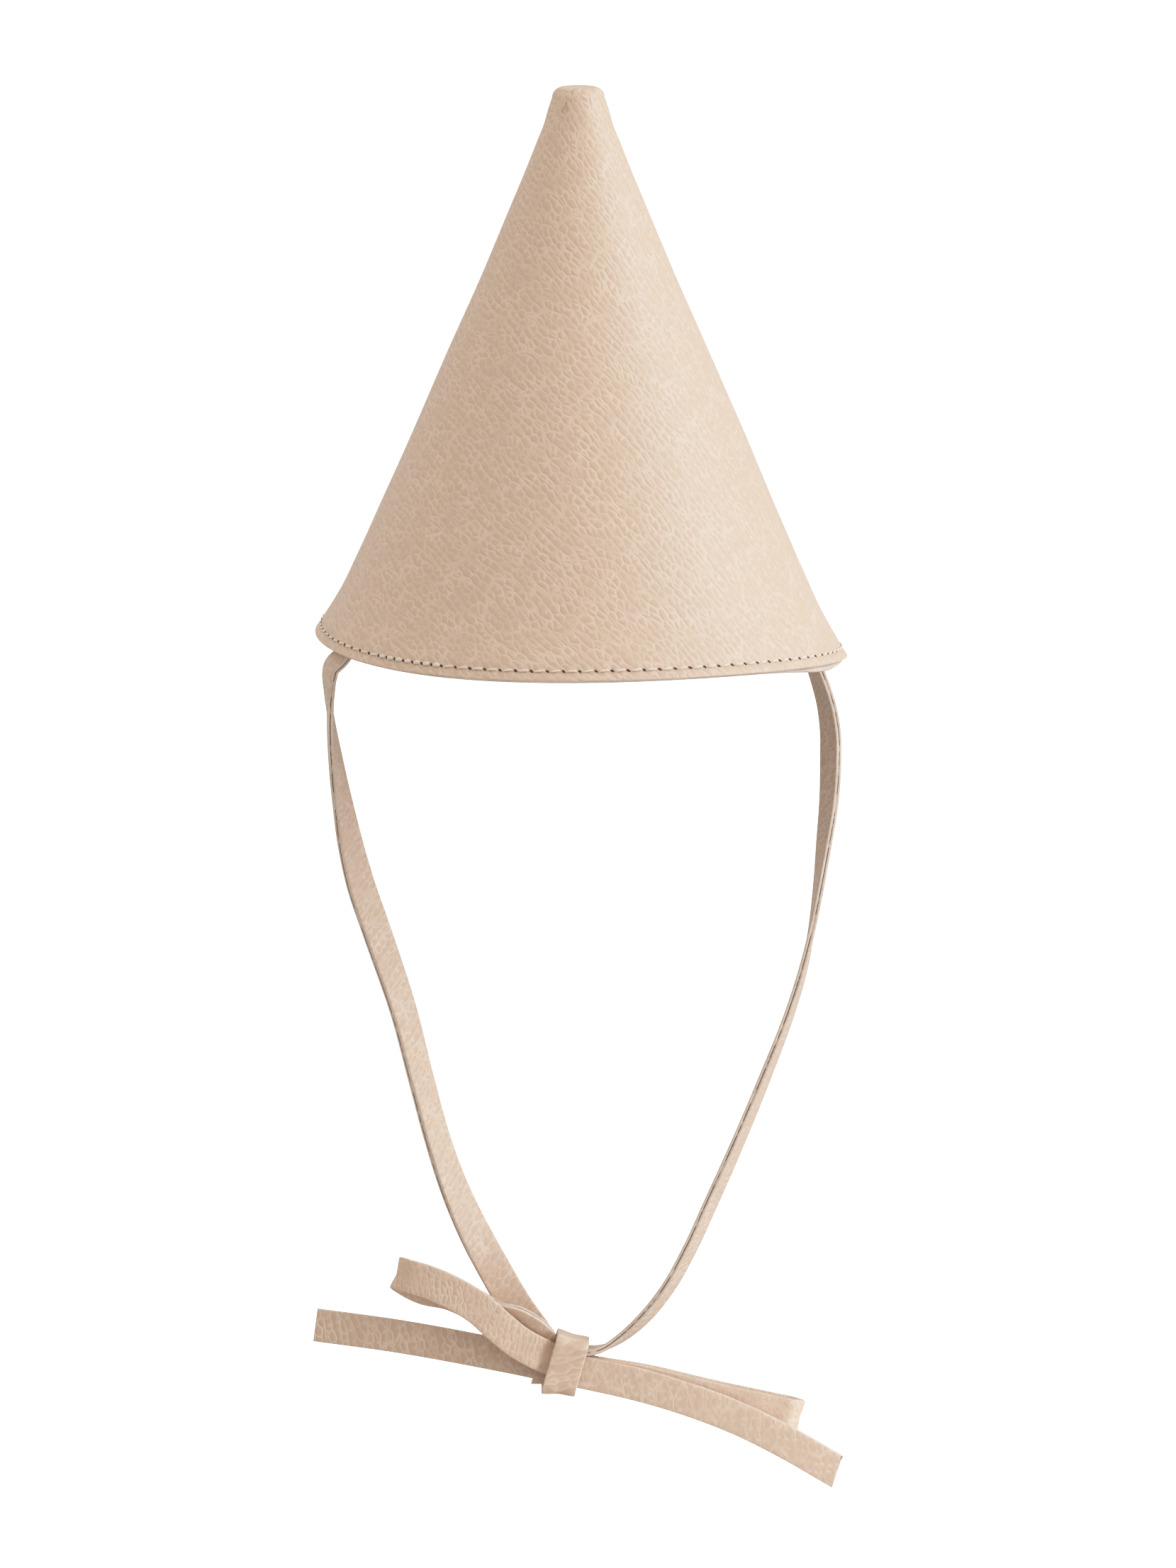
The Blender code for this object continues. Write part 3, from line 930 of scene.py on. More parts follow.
def bow_point(along, up, depth):
    """A point of the bow, given along its line, up from it, and in depth."""
    x = KNOT_X + along * math.cos(BOW_SLOPE) + up * math.sin(BOW_SLOPE)
    z = KNOT_Z - along * math.sin(BOW_SLOPE) + up * math.cos(BOW_SLOPE)
    return x, depth, z


def bow_rows(table):
    return [(*bow_point(along, up, depth), turn) for along, up, depth, turn in table]


def tie_seat(side):
    """The rows where a tie lies against the facing, side -1 on the left and 1 on the right."""
    angle = TIE_TURN if side > 0 else math.pi + TIE_TURN
    inside = (sizes().crown_wall + sizes().facing_wall + sizes().strap_thickness / 2) / MM
    heights, away = np.array(TIE_SEAT_RIGHT if side > 0 else TIE_SEAT_LEFT).T
    seats = turned(wall_point(heights, inside + GAP + TIE_SEAT_GAP + away), np.full(len(heights), angle))
    return [(*seat, -math.degrees(TIE_TURN)) for seat in seats]


def wrap_outline(down):
    """The middle of the wrap's wall as points (up, depth), once round from its top at the back."""
    middle = sizes().wrap_thickness / MM / 2
    corner = WRAP_CORNER + middle
    box = (WRAP_INNER_UP - WRAP_CORNER, down - WRAP_CORNER, WRAP_INNER_DEPTH - WRAP_CORNER)
    corners = ((box[0], box[2]), (-box[1], box[2]), (-box[1], -box[2]), (box[0], -box[2]))
    points = []
    for quarter, (up, depth) in enumerate(corners):
        turns = np.radians(90 * (quarter + np.linspace(0, 1, WRAP_CORNER_STEPS + 1)))
        points += [(up + corner * math.cos(a), depth + corner * math.sin(a)) for a in turns]
        after = corners[(quarter + 1) % 4]
        start = np.array(points[-1])
        turn = math.radians(90 * (quarter + 1))
        stop = np.array(after) + corner * np.array([math.cos(turn), math.sin(turn)])
        between = np.linspace(0, 1, WRAP_SIDE_STEPS + 1)[1:-1, None]
        points += [tuple(p) for p in start + (stop - start) * between]
    return points


def new_material(name, roughness, specular):
    material = bpy.data.materials.new(name)
    material.use_nodes = True
    shader = material.node_tree.nodes["Principled BSDF"]
    shader.inputs["Roughness"].default_value = roughness
    shader.inputs["Specular IOR Level"].default_value = specular
    return material, material.node_tree, shader


def mixed(tree, factor, first, second):
    """A colour between two, each a socket or a plain colour."""
    mix = tree.nodes.new("ShaderNodeMix")
    mix.data_type = "RGBA"
    tree.links.new(factor, mix.inputs["Factor"])
    for socket, value in ((mix.inputs[6], first), (mix.inputs[7], second)):
        if isinstance(value, bpy.types.NodeSocket):
            tree.links.new(value, socket)
        else:
            socket.default_value = (*value, 1)
    return mix.outputs[2]


def ranged(tree, value, low, high, start, stop):
    """A smooth ramp from start to stop as value goes from low to high."""
    ramp = tree.nodes.new("ShaderNodeMapRange")
    ramp.interpolation_type = "SMOOTHSTEP"
    tree.links.new(value, ramp.inputs["Value"])
    for name, number in (("From Min", low), ("From Max", high), ("To Min", start), ("To Max", stop)):
        ramp.inputs[name].default_value = number
    return ramp.outputs["Result"]


def math_node(tree, operation, first, second):
    """An arithmetic node on sockets or plain numbers."""
    made = tree.nodes.new("ShaderNodeMath")
    made.operation = operation
    for socket, value in zip(made.inputs, (first, second)):
        if isinstance(value, bpy.types.NodeSocket):
            tree.links.new(value, socket)
        else:
            socket.default_value = value
    return made.outputs[0]


def noise_value(tree, place, scale, detail=2.0, roughness=0.5):
    made = tree.nodes.new("ShaderNodeTexNoise")
    made.inputs["Scale"].default_value = scale
    made.inputs["Detail"].default_value = detail
    made.inputs["Roughness"].default_value = roughness
    tree.links.new(place, made.inputs["Vector"])
    return made


def warped(tree, place, scale, amount):
    """The place pushed about by a noise, by up to half of amount."""
    push = noise_value(tree, place, scale, 1.0)
    centred = tree.nodes.new("ShaderNodeVectorMath")
    centred.operation = "SUBTRACT"
    centred.inputs[1].default_value = (0.5, 0.5, 0.5)
    tree.links.new(push.outputs["Color"], centred.inputs[0])
    scaled = tree.nodes.new("ShaderNodeVectorMath")
    scaled.operation = "MULTIPLY_ADD"
    scaled.inputs[1].default_value = (amount, amount, 0)
    tree.links.new(centred.outputs[0], scaled.inputs[0])
    tree.links.new(place, scaled.inputs[2])
    return scaled.outputs[0]


def grain_cells(tree, place, cell_length, cell_width, turn, feature="DISTANCE_TO_EDGE"):
    """Voronoi cells, stretched along a direction turned from the sheet's first axis."""
    lean = tree.nodes.new("ShaderNodeMapping")
    lean.inputs["Rotation"].default_value = (0, 0, -turn)
    tree.links.new(place, lean.inputs["Vector"])
    stretch = tree.nodes.new("ShaderNodeMapping")
    stretch.inputs["Scale"].default_value = (1 / cell_length, 1 / cell_width, 1)
    tree.links.new(lean.outputs[0], stretch.inputs["Vector"])
    cells = tree.nodes.new("ShaderNodeTexVoronoi")
    cells.voronoi_dimensions = "2D"
    cells.feature = feature
    cells.inputs["Scale"].default_value = 1
    cells.inputs["Randomness"].default_value = GRAIN_RANDOMNESS
    tree.links.new(stretch.outputs[0], cells.inputs["Vector"])
    return cells


def across_cell(tree, cells):
    """How far a place lies from its cell's middle, square to the cell's length."""
    heights = []
    for vector in (cells.inputs["Vector"].links[0].from_socket, cells.outputs["Position"]):
        split = tree.nodes.new("ShaderNodeSeparateXYZ")
        tree.links.new(vector, split.inputs[0])
        heights.append(split.outputs["Y"])
    return math_node(tree, "SUBTRACT", *heights)


def bumped(tree, shader, height, distance):
    bump = tree.nodes.new("ShaderNodeBump")
    bump.inputs["Distance"].default_value = distance
    tree.links.new(height, bump.inputs["Height"])
    tree.links.new(bump.outputs[0], shader.inputs["Normal"])


def times(base, share):
    return tuple(share * c for c in base)


def product(tree, first, second):
    return math_node(tree, "MULTIPLY", first, second)


def sheet_uv(tree):
    """Where a place lies on the flat sheet of leather."""
    sheet = tree.nodes.new("ShaderNodeUVMap")
    sheet.uv_map = "leather"
    return sheet.outputs[0]


def object_place(tree):
    return tree.nodes.new("ShaderNodeTexCoord").outputs["Object"]


def grained_leather(
    name,
    turn,
    cell_length,
    cell_width,
    depth,
    shade=1.0,
    marked=False,
    creases=CROWN_CREASES,
    shadows=CROWN_SHADOWS,
):
    """Pebbled leather: soft raised cells and pale creases, with a painted highlight along one long side of
    each cell and painted shade on the other.
    """
    cell = times(colours().cell, shade)
    dark = tuple(colours().mark)
    material, tree, shader = new_material(name, *GRAIN_FINISH)
    sheet = sheet_uv(tree)
    place = sheet
    for scale, push in GRAIN_WARPS:
        place = warped(tree, place, scale, push)
    cells = grain_cells(tree, place, cell_length, cell_width, turn)
    tones = grain_cells(tree, place, cell_length, cell_width, turn, "F1")
    long_cells = grain_cells(tree, place, cell_length * LONG_CELL[0], cell_width * LONG_CELL[1], turn)
    patches = noise_value(tree, sheet, PATCH_SCALE)
    hues = noise_value(tree, sheet, HUE_SCALE)

    side = across_cell(tree, tones)
    near_edge = ranged(tree, cells.outputs["Distance"], *NEAR_EDGE)
    # The pale crease on one side of each cell is a painted highlight, and the dark on its other side is
    # painted shade.
    crease_and_highlight = product(tree, near_edge, ranged(tree, side, *PAINTED_HIGHLIGHT_SIDE))
    shadow = product(tree, near_edge, ranged(tree, side, *PAINTED_SHADOW_SIDE))
    long_crease = ranged(tree, long_cells.outputs["Distance"], *LONG_CREASE)
    strength = ranged(tree, patches.outputs["Fac"], *PATCH_STRENGTH)
    creases_and_highlight = product(tree, math_node(tree, "MAXIMUM", crease_and_highlight, long_crease), strength)
    shadow = product(tree, shadow, strength)
    valleys = product(tree, math_node(tree, "MAXIMUM", near_edge, long_crease), strength)

    tone = tree.nodes.new("ShaderNodeSeparateColor")
    tree.links.new(tones.outputs["Color"], tone.inputs[0])
    surface = mixed(tree, tone.outputs[0], times(cell, DARKER_CELL), cell)
    yellower = tuple(share * c for share, c in zip(YELLOWER_CELL, cell))
    surface = mixed(tree, ranged(tree, hues.outputs["Fac"], *HUE_SHARE), surface, yellower)
    surface = mixed(tree, product(tree, shadow, shadows), surface, dark)
    surface = mixed(tree, product(tree, creases_and_highlight, creases), surface, times(colours().crease_and_highlight, shade))
    # Painted shade in the pucker and under the stitches, from the cone's point attribute.
    if marked:
        mark = tree.nodes.new("ShaderNodeAttribute")
        mark.attribute_name = "mark"
        surface = mixed(tree, product(tree, mark.outputs["Fac"], PAINTED_SHADE_SHARE), surface, dark)
    tree.links.new(surface, shader.inputs["Base Color"])

    pores = noise_value(tree, sheet, PORE_SCALE)
    height = math_node(tree, "SUBTRACT", product(tree, pores.outputs["Fac"], PORE_HEIGHT), valleys)
    bumped(tree, shader, height, depth)
    return material


def plain_leather(name, base, scale, roughness, depth):
    """Leather without grain, such as its inner face or a cut edge: fine fibres and soft patches."""
    material, tree, shader = new_material(name, roughness, PLAIN_GLOSS)
    place = object_place(tree)
    fibres = noise_value(tree, place, scale, *FIBRE_NOISE)
    patches = noise_value(tree, place, scale / FIBRE_PATCHES)
    both = math_node(tree, "ADD", fibres.outputs["Fac"], patches.outputs["Fac"])
    paler = tuple(min(1, c) for c in times(base, PALE_FIBRE))
    surface = mixed(tree, ranged(tree, both, *FIBRE_TONE), times(base, DARK_FIBRE), paler)
    tree.links.new(surface, shader.inputs["Base Color"])
    bumped(tree, shader, fibres.outputs["Fac"], depth)
    return material


def ply_line(name):
    """The seam between the strap's plies: dark dashes where it is open, the edge's colour between."""
    material, tree, shader = new_material(name, *PLY_FINISH)
    along = tree.nodes.new("ShaderNodeMapping")
    along.inputs["Scale"].default_value = (1, 0, 0)
    tree.links.new(sheet_uv(tree), along.inputs["Vector"])
    dashes = noise_value(tree, along.outputs[0], *PLY_NOISE)
    open_here = ranged(tree, dashes.outputs["Fac"], *PLY_OPEN)
    surface = mixed(tree, open_here, times(colours().edge, PLY_EDGE_SHADE), tuple(colours().ply_line))
    tree.links.new(surface, shader.inputs["Base Color"])
    return material


def thread_material(name):
    """Waxed thread, a little fuzzy."""
    material, tree, shader = new_material(name, *THREAD_FINISH)
    fibres = noise_value(tree, object_place(tree), THREAD_SCALE).outputs["Fac"]
    surface = mixed(tree, fibres, times(colours().thread, DARK_THREAD), tuple(colours().thread))
    tree.links.new(surface, shader.inputs["Base Color"])
    shader.inputs["Sheen Weight"].default_value = THREAD_SHEEN
    bumped(tree, shader, fibres, THREAD_DEPTH)
    return material


def hole_material(name):
    """Painted shade inside a stitch hole."""
    material, tree, shader = new_material(name, *HOLE_FINISH)
    fibres = noise_value(tree, object_place(tree), HOLE_SCALE).outputs["Fac"]
    surface = mixed(tree, fibres, tuple(colours().hole), times(colours().hole, PALE_HOLE))
    tree.links.new(surface, shader.inputs["Base Color"])
    return material


def named_material(name, make, *values, **named):
    """The material of that name, made the first time it is asked for."""
    return bpy.data.materials.get(name) or make(name, *values, **named)


def edge_material():
    return named_material("cut_edge", plain_leather, colours().edge, *CUT_EDGE)


def inside_material():
    return named_material("inner_leather", plain_leather, colours().inside, *INNER_FACE)


def strap_materials(name="strap_grain", size=STRAP_GRAIN, shade=STRAP_SHADE, creases=STRAP_CREASES):
    """The grain, the cut edge and the ply line; size is the grain's next to the cone's."""
    grain = named_material(
        name,
        grained_leather,
        STRAP_GRAIN_TURN,
        sizes().grain_length * size,
        sizes().grain_width * size,
        STRAP_GRAIN_DEPTH,
        shade,
        creases=creases,
        shadows=STRAP_SHADOWS * creases,
    )
    return grain, edge_material(), named_material("strap_ply_line", ply_line)


def row_tree():
    """Geometry nodes: small shapes a pitch apart along a path, standing on the leather."""
    tree = bpy.data.node_groups.get("shapes_along_row")
    if tree:
        return tree
    tree = bpy.data.node_groups.new("shapes_along_row", "GeometryNodeTree")
    sockets = (
        ("Path", "NodeSocketGeometry"),
        ("Shape", "NodeSocketObject"),
        ("Pitch", "NodeSocketFloat"),
        ("Slant", "NodeSocketFloat"),
        ("Unevenness", "NodeSocketFloat"),
        ("Seed", "NodeSocketInt"),
        ("Finish", "NodeSocketMaterial"),
    )
    for name, kind in sockets:
        tree.interface.new_socket(name, in_out="INPUT", socket_type=kind)
    tree.interface.new_socket("Row", in_out="OUTPUT", socket_type="NodeSocketGeometry")
    given = tree.nodes.new("NodeGroupInput").outputs
    link = tree.links.new

    curve = tree.nodes.new("GeometryNodeMeshToCurve")
    link(given["Path"], curve.inputs[0])
    run = tree.nodes.new("GeometryNodeCurveLength")
    link(curve.outputs[0], run.inputs[0])
    spans = math_node(tree, "ROUND", math_node(tree, "DIVIDE", run.outputs[0], given["Pitch"]), 0.0)
    points = tree.nodes.new("GeometryNodeResampleCurve")
    link(curve.outputs[0], points.inputs["Curve"])
    link(math_node(tree, "ADD", spans, 1.0), points.inputs["Count"])

    tangent = tree.nodes.new("GeometryNodeInputTangent")
    out = tree.nodes.new("GeometryNodeInputNamedAttribute")
    out.data_type = "FLOAT_VECTOR"
    out.inputs["Name"].default_value = "surface_out"
    upright = tree.nodes.new("FunctionNodeAxesToRotation")
    upright.primary_axis = "Z"
    upright.secondary_axis = "X"
    link(out.outputs[0], upright.inputs["Primary Axis"])
    link(tangent.outputs[0], upright.inputs["Secondary Axis"])

    wobble = tree.nodes.new("FunctionNodeRandomValue")
    wobble.data_type = "FLOAT"
    link(math_node(tree, "MULTIPLY", given["Unevenness"], -1.0), wobble.inputs[2])
    link(given["Unevenness"], wobble.inputs[3])
    link(given["Seed"], wobble.inputs["Seed"])
    slant = tree.nodes.new("ShaderNodeCombineXYZ")
    link(math_node(tree, "ADD", given["Slant"], wobble.outputs[1]), slant.inputs["Z"])
    lean = tree.nodes.new("FunctionNodeRotateRotation")
    lean.rotation_space = "LOCAL"
    link(upright.outputs[0], lean.inputs["Rotation"])
    link(slant.outputs[0], lean.inputs["Rotate By"])

    growth = tree.nodes.new("FunctionNodeRandomValue")
    growth.data_type = "FLOAT"
    link(math_node(tree, "SUBTRACT", 1.0, given["Unevenness"]), growth.inputs[2])
    link(math_node(tree, "ADD", 1.0, given["Unevenness"]), growth.inputs[3])
    link(math_node(tree, "ADD", given["Seed"], 1.0), growth.inputs["Seed"])

    shape = tree.nodes.new("GeometryNodeObjectInfo")
    link(given["Shape"], shape.inputs["Object"])
    copies = tree.nodes.new("GeometryNodeInstanceOnPoints")
    link(points.outputs[0], copies.inputs["Points"])
    link(shape.outputs["Geometry"], copies.inputs["Instance"])
    link(lean.outputs[0], copies.inputs["Rotation"])
    link(growth.outputs[1], copies.inputs["Scale"])
    real = tree.nodes.new("GeometryNodeRealizeInstances")
    link(copies.outputs[0], real.inputs[0])
    finish = tree.nodes.new("GeometryNodeSetMaterial")
    link(real.outputs[0], finish.inputs["Geometry"])
    link(given["Finish"], finish.inputs["Material"])
    link(finish.outputs[0], tree.nodes.new("NodeGroupOutput").inputs[0])
    return tree


def row_along(path, shape, material, pitch, slant):
    """The plain mesh of shapes along a path, made by the geometry nodes."""
    line = bpy.data.objects.new("row_path", path)
    bpy.context.scene.collection.objects.link(line)
    modifier = line.modifiers.new("row", "NODES")
    modifier.node_group = row_tree()
    values = {
        "Shape": shape,
        "Pitch": pitch,
        "Slant": slant,
        "Unevenness": STITCH_UNEVEN,
        "Seed": stitching().seed,
        "Finish": material,
    }
    for socket in modifier.node_group.interface.items_tree:
        if socket.in_out == "INPUT" and socket.name in values:
            modifier[socket.identifier] = values[socket.name]
    graph = bpy.context.evaluated_depsgraph_get()
    mesh = bpy.data.meshes.new_from_object(line.evaluated_get(graph))
    bpy.data.objects.remove(line)
    return mesh


def rim_path(name, start, stop, depth, side):
    """A path along the stitches' row, with the direction out of the leather at each point."""
    row = stitching().row_height / MM
    radius, height = wall_point(row, depth)
    above, below = wall_point(row + 1, depth), wall_point(row - 1, depth)
    rise = unit(above - below)
    out = np.array([rise[1], -rise[0]]) * side
    count = max(LEAST_PATH_POINTS, round((stop - start) * radius / PATH_STEP))
    angles = np.linspace(start, stop, count)
    points = turned(np.array([[radius, height]]), angles)
    outs = np.stack([out[0] * np.cos(angles), out[0] * np.sin(angles), np.full(count, out[1])], axis=-1)
    path = bpy.data.meshes.new(name)
    path.from_pydata((points * MM).tolist(), [(i, i + 1) for i in range(count - 1)], [])
    attribute = path.attributes.new("surface_out", "FLOAT_VECTOR", "POINT")
    attribute.data.foreach_set("vector", outs.ravel())
    return path


def thread_shape(name, span, thickness):
    """One stitch: a two-ply thread that comes up, arches over the leather and goes down."""
    along = np.linspace(-1, 1, THREAD_ROWS)
    turns = np.linspace(0, 2 * math.pi, THREAD_SIDES, endpoint=False)
    swell = thickness / 2 * np.sqrt(np.clip(1 - np.abs(along) ** 4, 0, 1)) * (1 + THREAD_TAPER * along)
    plies = 1 + PLY_LOBE * np.cos(2 * (turns[None] - THREAD_TWIST * along[:, None]))
    radius = swell[:, None] * plies
    rise = thickness * (THREAD_RISE * (1 - along**2) - THREAD_SINK * along**4)
    up = rise[:, None] + radius * np.sin(turns)
    return row_shape(name, together(along[:, None] * span / 2, radius * np.cos(turns), up))


def hole_shape(name, span, width):
    """One stitch hole: a shallow pit, longer than it is wide, that carries the hole's painted shade."""
    turns = math.pi / 2 + np.linspace(0, 2 * math.pi, HOLE_SIDES, endpoint=False)
    rise = np.radians(np.linspace(-90, 90, HOLE_ROWS + 1))[:, None]
    along, aside = np.cos(rise) * np.cos(turns), np.cos(rise) * np.sin(turns)
    return row_shape(name, together(along * span / 2, aside * width / 2, np.sin(rise) * HOLE_LIFT * MM))


def row_shape(name, rings):
    """The object that a row repeats, from rings in metres. The row gives it its material."""
    rows, sides = rings.shape[:2]
    mesh = loft(name, rings / MM, np.zeros((rows, sides + 1, 2)), np.zeros((rows - 1, 1)), ())
    shape = bpy.data.objects.new(name, mesh)
    bpy.context.scene.collection.objects.link(shape)
    return shape


def joined_meshes(name, meshes):
    """One mesh of several, which keeps their material."""
    whole = bmesh.new()
    for mesh in meshes:
        whole.from_mesh(mesh)
    for face in whole.faces:
        face.material_index = 0
    joined = bpy.data.meshes.new(name)
    whole.to_mesh(joined)
    whole.free()
    joined.materials.append(meshes[0].materials[-1])
    joined.shade_smooth()
    return joined


class HAT_OT_make_crown(bpy.types.Operator):
    """Make the cone of grained leather."""

    bl_idname = "hat.make_crown"
    bl_label = "Make Crown"

    def execute(self, context):
        pattern = (CROWN_GRAIN_TURN, sizes().grain_length, sizes().grain_width, CROWN_GRAIN_DEPTH)
        grain = named_material("crown_grain", grained_leather, *pattern, marked=True)
        mesh = crown_mesh("crown_shell", (grain, edge_material(), inside_material()))
        piece("crown_shell", mesh, "crown_leather", "crown")
        return {"FINISHED"}


class HAT_OT_make_facing(bpy.types.Operator):
    """Make the band inside the rim."""

    bl_idname = "hat.make_facing"
    bl_label = "Make Facing"

    def execute(self, context):
        mesh = facing_mesh("facing_band", (inside_material(), edge_material()))
        piece("facing_band", mesh, "facing_leather", "rim_facing")
        return {"FINISHED"}


class HAT_OT_make_ties(bpy.types.Operator):
    """Make the two ties, from inside the rim down to the knot."""

    bl_idname = "hat.make_ties"
    bl_label = "Make Ties"

    def execute(self, context):
        left = tie_seat(-1) + list(TIE_LEFT) + bow_rows(TIE_LEFT_END)
        right = tie_seat(1) + list(TIE_RIGHT) + bow_rows(TIE_RIGHT_END)
        # The ties use the darker copy of the strap leather: painted shade.
        painted_shade_copy = strap_materials("tie_grain", shade=PAINTED_SHADE_TONE)
        make_strap("tie_left", left, TIE_ACROSS, TIE_STEP, materials=painted_shade_copy)
        make_strap("tie_right", right, TIE_ACROSS, TIE_STEP, materials=painted_shade_copy)
        return {"FINISHED"}


class HAT_OT_make_bow(bpy.types.Operator):
    """Make the bow's two loops and two tails."""

    bl_idname = "hat.make_bow"
    bl_label = "Make Bow"

    def execute(self, context):
        softer = strap_materials("loop_grain", size=LOOP_GRAIN, creases=LOOP_CREASES)
        for node_name, table in (("bow_loop_left", LOOP_LEFT), ("bow_loop_right", LOOP_RIGHT)):
            make_strap(node_name, bow_rows(table), BOW_UP, BOW_STEP, LOOP_DISH_LIMIT, materials=softer)
        # The left tail uses the darker copy too: painted shade.
        painted_shade_copy = strap_materials("tie_grain", shade=PAINTED_SHADE_TONE)
        make_strap("bow_tail_left", bow_rows(TAIL_LEFT), BOW_UP, BOW_STEP, materials=painted_shade_copy)
        make_strap("bow_tail_right", bow_rows(TAIL_RIGHT), BOW_UP, BOW_STEP, end_cut=TAIL_RIGHT_CUT)
        return {"FINISHED"}


class HAT_OT_make_knot(bpy.types.Operator):
    """Make the strap round the knot and the fold that shows beside it."""

    bl_idname = "hat.make_knot"
    bl_label = "Make Knot"

    def execute(self, context):
        half = sizes().wrap_width / MM / 2
        left = np.array([bow_point(-half, *at) for at in wrap_outline(WRAP_INNER_DOWN_LEFT)])
        right = np.array([bow_point(half, *at) for at in wrap_outline(WRAP_INNER_DOWN_RIGHT)])
        section, parts = strap_section(2 * half, sizes().wrap_thickness / MM)
        rings = strap_rings(left, right, section, WRAP_DISH_LIMIT, closed=True)
        materials = strap_materials("wrap_grain", size=WRAP_GRAIN)
        mesh = strap_mesh("knot_band", rings, section, parts, materials, closed=True)
        piece("knot_band", mesh, "strap_leather", "knot_wrap")

        rows = smooth_rows(bow_rows(TUCK), BOW_STEP)
        shift = np.array(BOW_UP) * TUCK_WIDTH / 2
        low, high = rows[:, :3] - shift, rows[:, :3] + shift
        section, parts = strap_section(TUCK_WIDTH, sizes().strap_thickness / MM)
        mesh = strap_mesh("knot_tuck", strap_rings(low, high, section), section, parts, strap_materials())
        piece("knot_tuck", mesh, "strap_leather")
        return {"FINISHED"}


class HAT_OT_make_stitches(bpy.types.Operator):
    """Make the rim's stitches and their holes, with a doubled stretch at the front left."""

    bl_idname = "hat.make_stitches"
    bl_label = "Make Stitches"

    def execute(self, context):
        made = stitching()
        wall = (sizes().crown_wall + sizes().facing_wall) / MM + GAP
        thread = named_material("waxed_thread", thread_material)
        # The holes are dark pits of painted shade.
        dark = named_material("stitch_hole", hole_material)
        single = thread_shape("single_stitch", made.pitch * made.stitch_share, made.thread)
        double = thread_shape("double_stitch", made.doubled_pitch * made.stitch_share, made.doubled_thread)
        hole = hole_shape("hole_pit", made.hole_length, made.hole_width)
        once_round = DOUBLED_FROM + 2 * math.pi
        radius = wall_radius(made.row_height / MM)
        half = made.pitch / MM / radius / 2
        half_doubled = made.doubled_pitch / MM / radius / 2
        outside = CHANNEL_DEPTH * CHANNEL_SEEN

        main = (DOUBLED_TO + half, once_round - half)
        doubled = (DOUBLED_FROM + half_doubled, DOUBLED_TO - half_doubled)
        stitches = []
        for name, span, depth, side, shape, pitch in (
            ("main_row", main, outside, 1, single, made.pitch),
            ("doubled_row", doubled, outside, 1, double, made.doubled_pitch),
            ("inner_row", main, wall, -1, single, made.pitch),
        ):
            path = rim_path(name, *span, depth, side)
            stitches.append(row_along(path, shape, thread, pitch, STITCH_SLANT))
        piece("rim_stitches", joined_meshes("rim_stitches", stitches), "stitch_thread")

        holes = []
        for name, start, stop, pitch in (
            ("main_holes", DOUBLED_TO, once_round, made.pitch),
            ("doubled_holes", DOUBLED_FROM, DOUBLED_TO, made.doubled_pitch),
        ):
            path = rim_path(name, start, stop, outside, 1)
            holes.append(row_along(path, hole, dark, pitch, HOLE_SLANT))
        piece("stitch_holes", joined_meshes("stitch_holes", holes), "crown_leather")
        for shape in (single, double, hole):
            bpy.data.objects.remove(shape)
        return {"FINISHED"}


def add_light(name, power, tint, size, azimuth, elevation, distance, target):
    """A square soft light, azimuth degrees round to the right of the front, facing the target."""
    lamp = bpy.data.lights.new(name, "AREA")
    lamp.energy = power
    lamp.color = tint
    lamp.size = size
    light = bpy.data.objects.new(name, lamp)
    light.visible_camera = False
    bpy.context.scene.collection.objects.link(light)
    turn, rise = math.radians(azimuth), math.radians(elevation)
    out = Vector((math.sin(turn) * math.cos(rise), -math.cos(turn) * math.cos(rise), math.sin(rise)))
    light.location = target + out * distance
    light.rotation_euler = out.to_track_quat("Z", "Y").to_euler()


def make_floor(stage):
    """A big white floor. It lights nothing: the world's lower half stands for its light."""
    lowest = CAD_BOX[0][2] - stage.floor_gap
    surface = bmesh.new()
    bmesh.ops.create_circle(surface, cap_ends=True, segments=FLOOR_SIDES, radius=FLOOR_RADIUS)
    bmesh.ops.translate(surface, verts=surface.verts, vec=(0, 0, lowest))
    mesh = bpy.data.meshes.new("floor")
    surface.to_mesh(mesh)
    surface.free()
    material, _, shader = new_material("floor_white", *FLOOR_FINISH)
    shader.inputs["Base Color"].default_value = (*FLOOR_WHITE, 1)
    shader.inputs["Emission Color"].default_value = (1, 1, 1, 1)
    shader.inputs["Emission Strength"].default_value = FLOOR_GLOW
    mesh.materials.append(material)
    floor = bpy.data.objects.new("floor", mesh)
    floor.visible_diffuse = False
    floor.visible_glossy = False
    bpy.context.scene.collection.objects.link(floor)


def make_camera(stage, aim):
    lens = bpy.data.cameras.new("camera")
    lens.lens = lens.sensor_width * stage.distance / stage.view_height
    lens.clip_end = CLIP_END
    camera = bpy.data.objects.new("camera", lens)
    bpy.context.scene.collection.objects.link(camera)
    out = Vector((0, -math.cos(stage.elevation), math.sin(stage.elevation)))
    camera.location = aim + out * stage.distance
    camera.rotation_euler = (math.pi / 2 - stage.elevation, 0, 0)
    bpy.context.scene.camera = camera


def make_world(stage):
    """White light from all round, weaker from below."""
    world = bpy.data.worlds.new("studio")
    world.use_nodes = True
    tree = world.node_tree
    place = tree.nodes.new("ShaderNodeTexCoord").outputs["Generated"]
    split = tree.nodes.new("ShaderNodeSeparateXYZ")
    tree.links.new(place, split.inputs[0])
    glow = ranged(tree, split.outputs["Z"], *HORIZON, stage.ground, stage.sky)
    sky = tree.nodes["Background"]
    sky.inputs["Color"].default_value = (*WARM_LIGHT, 1)
    tree.links.new(glow, sky.inputs["Strength"])
    bpy.context.scene.world = world


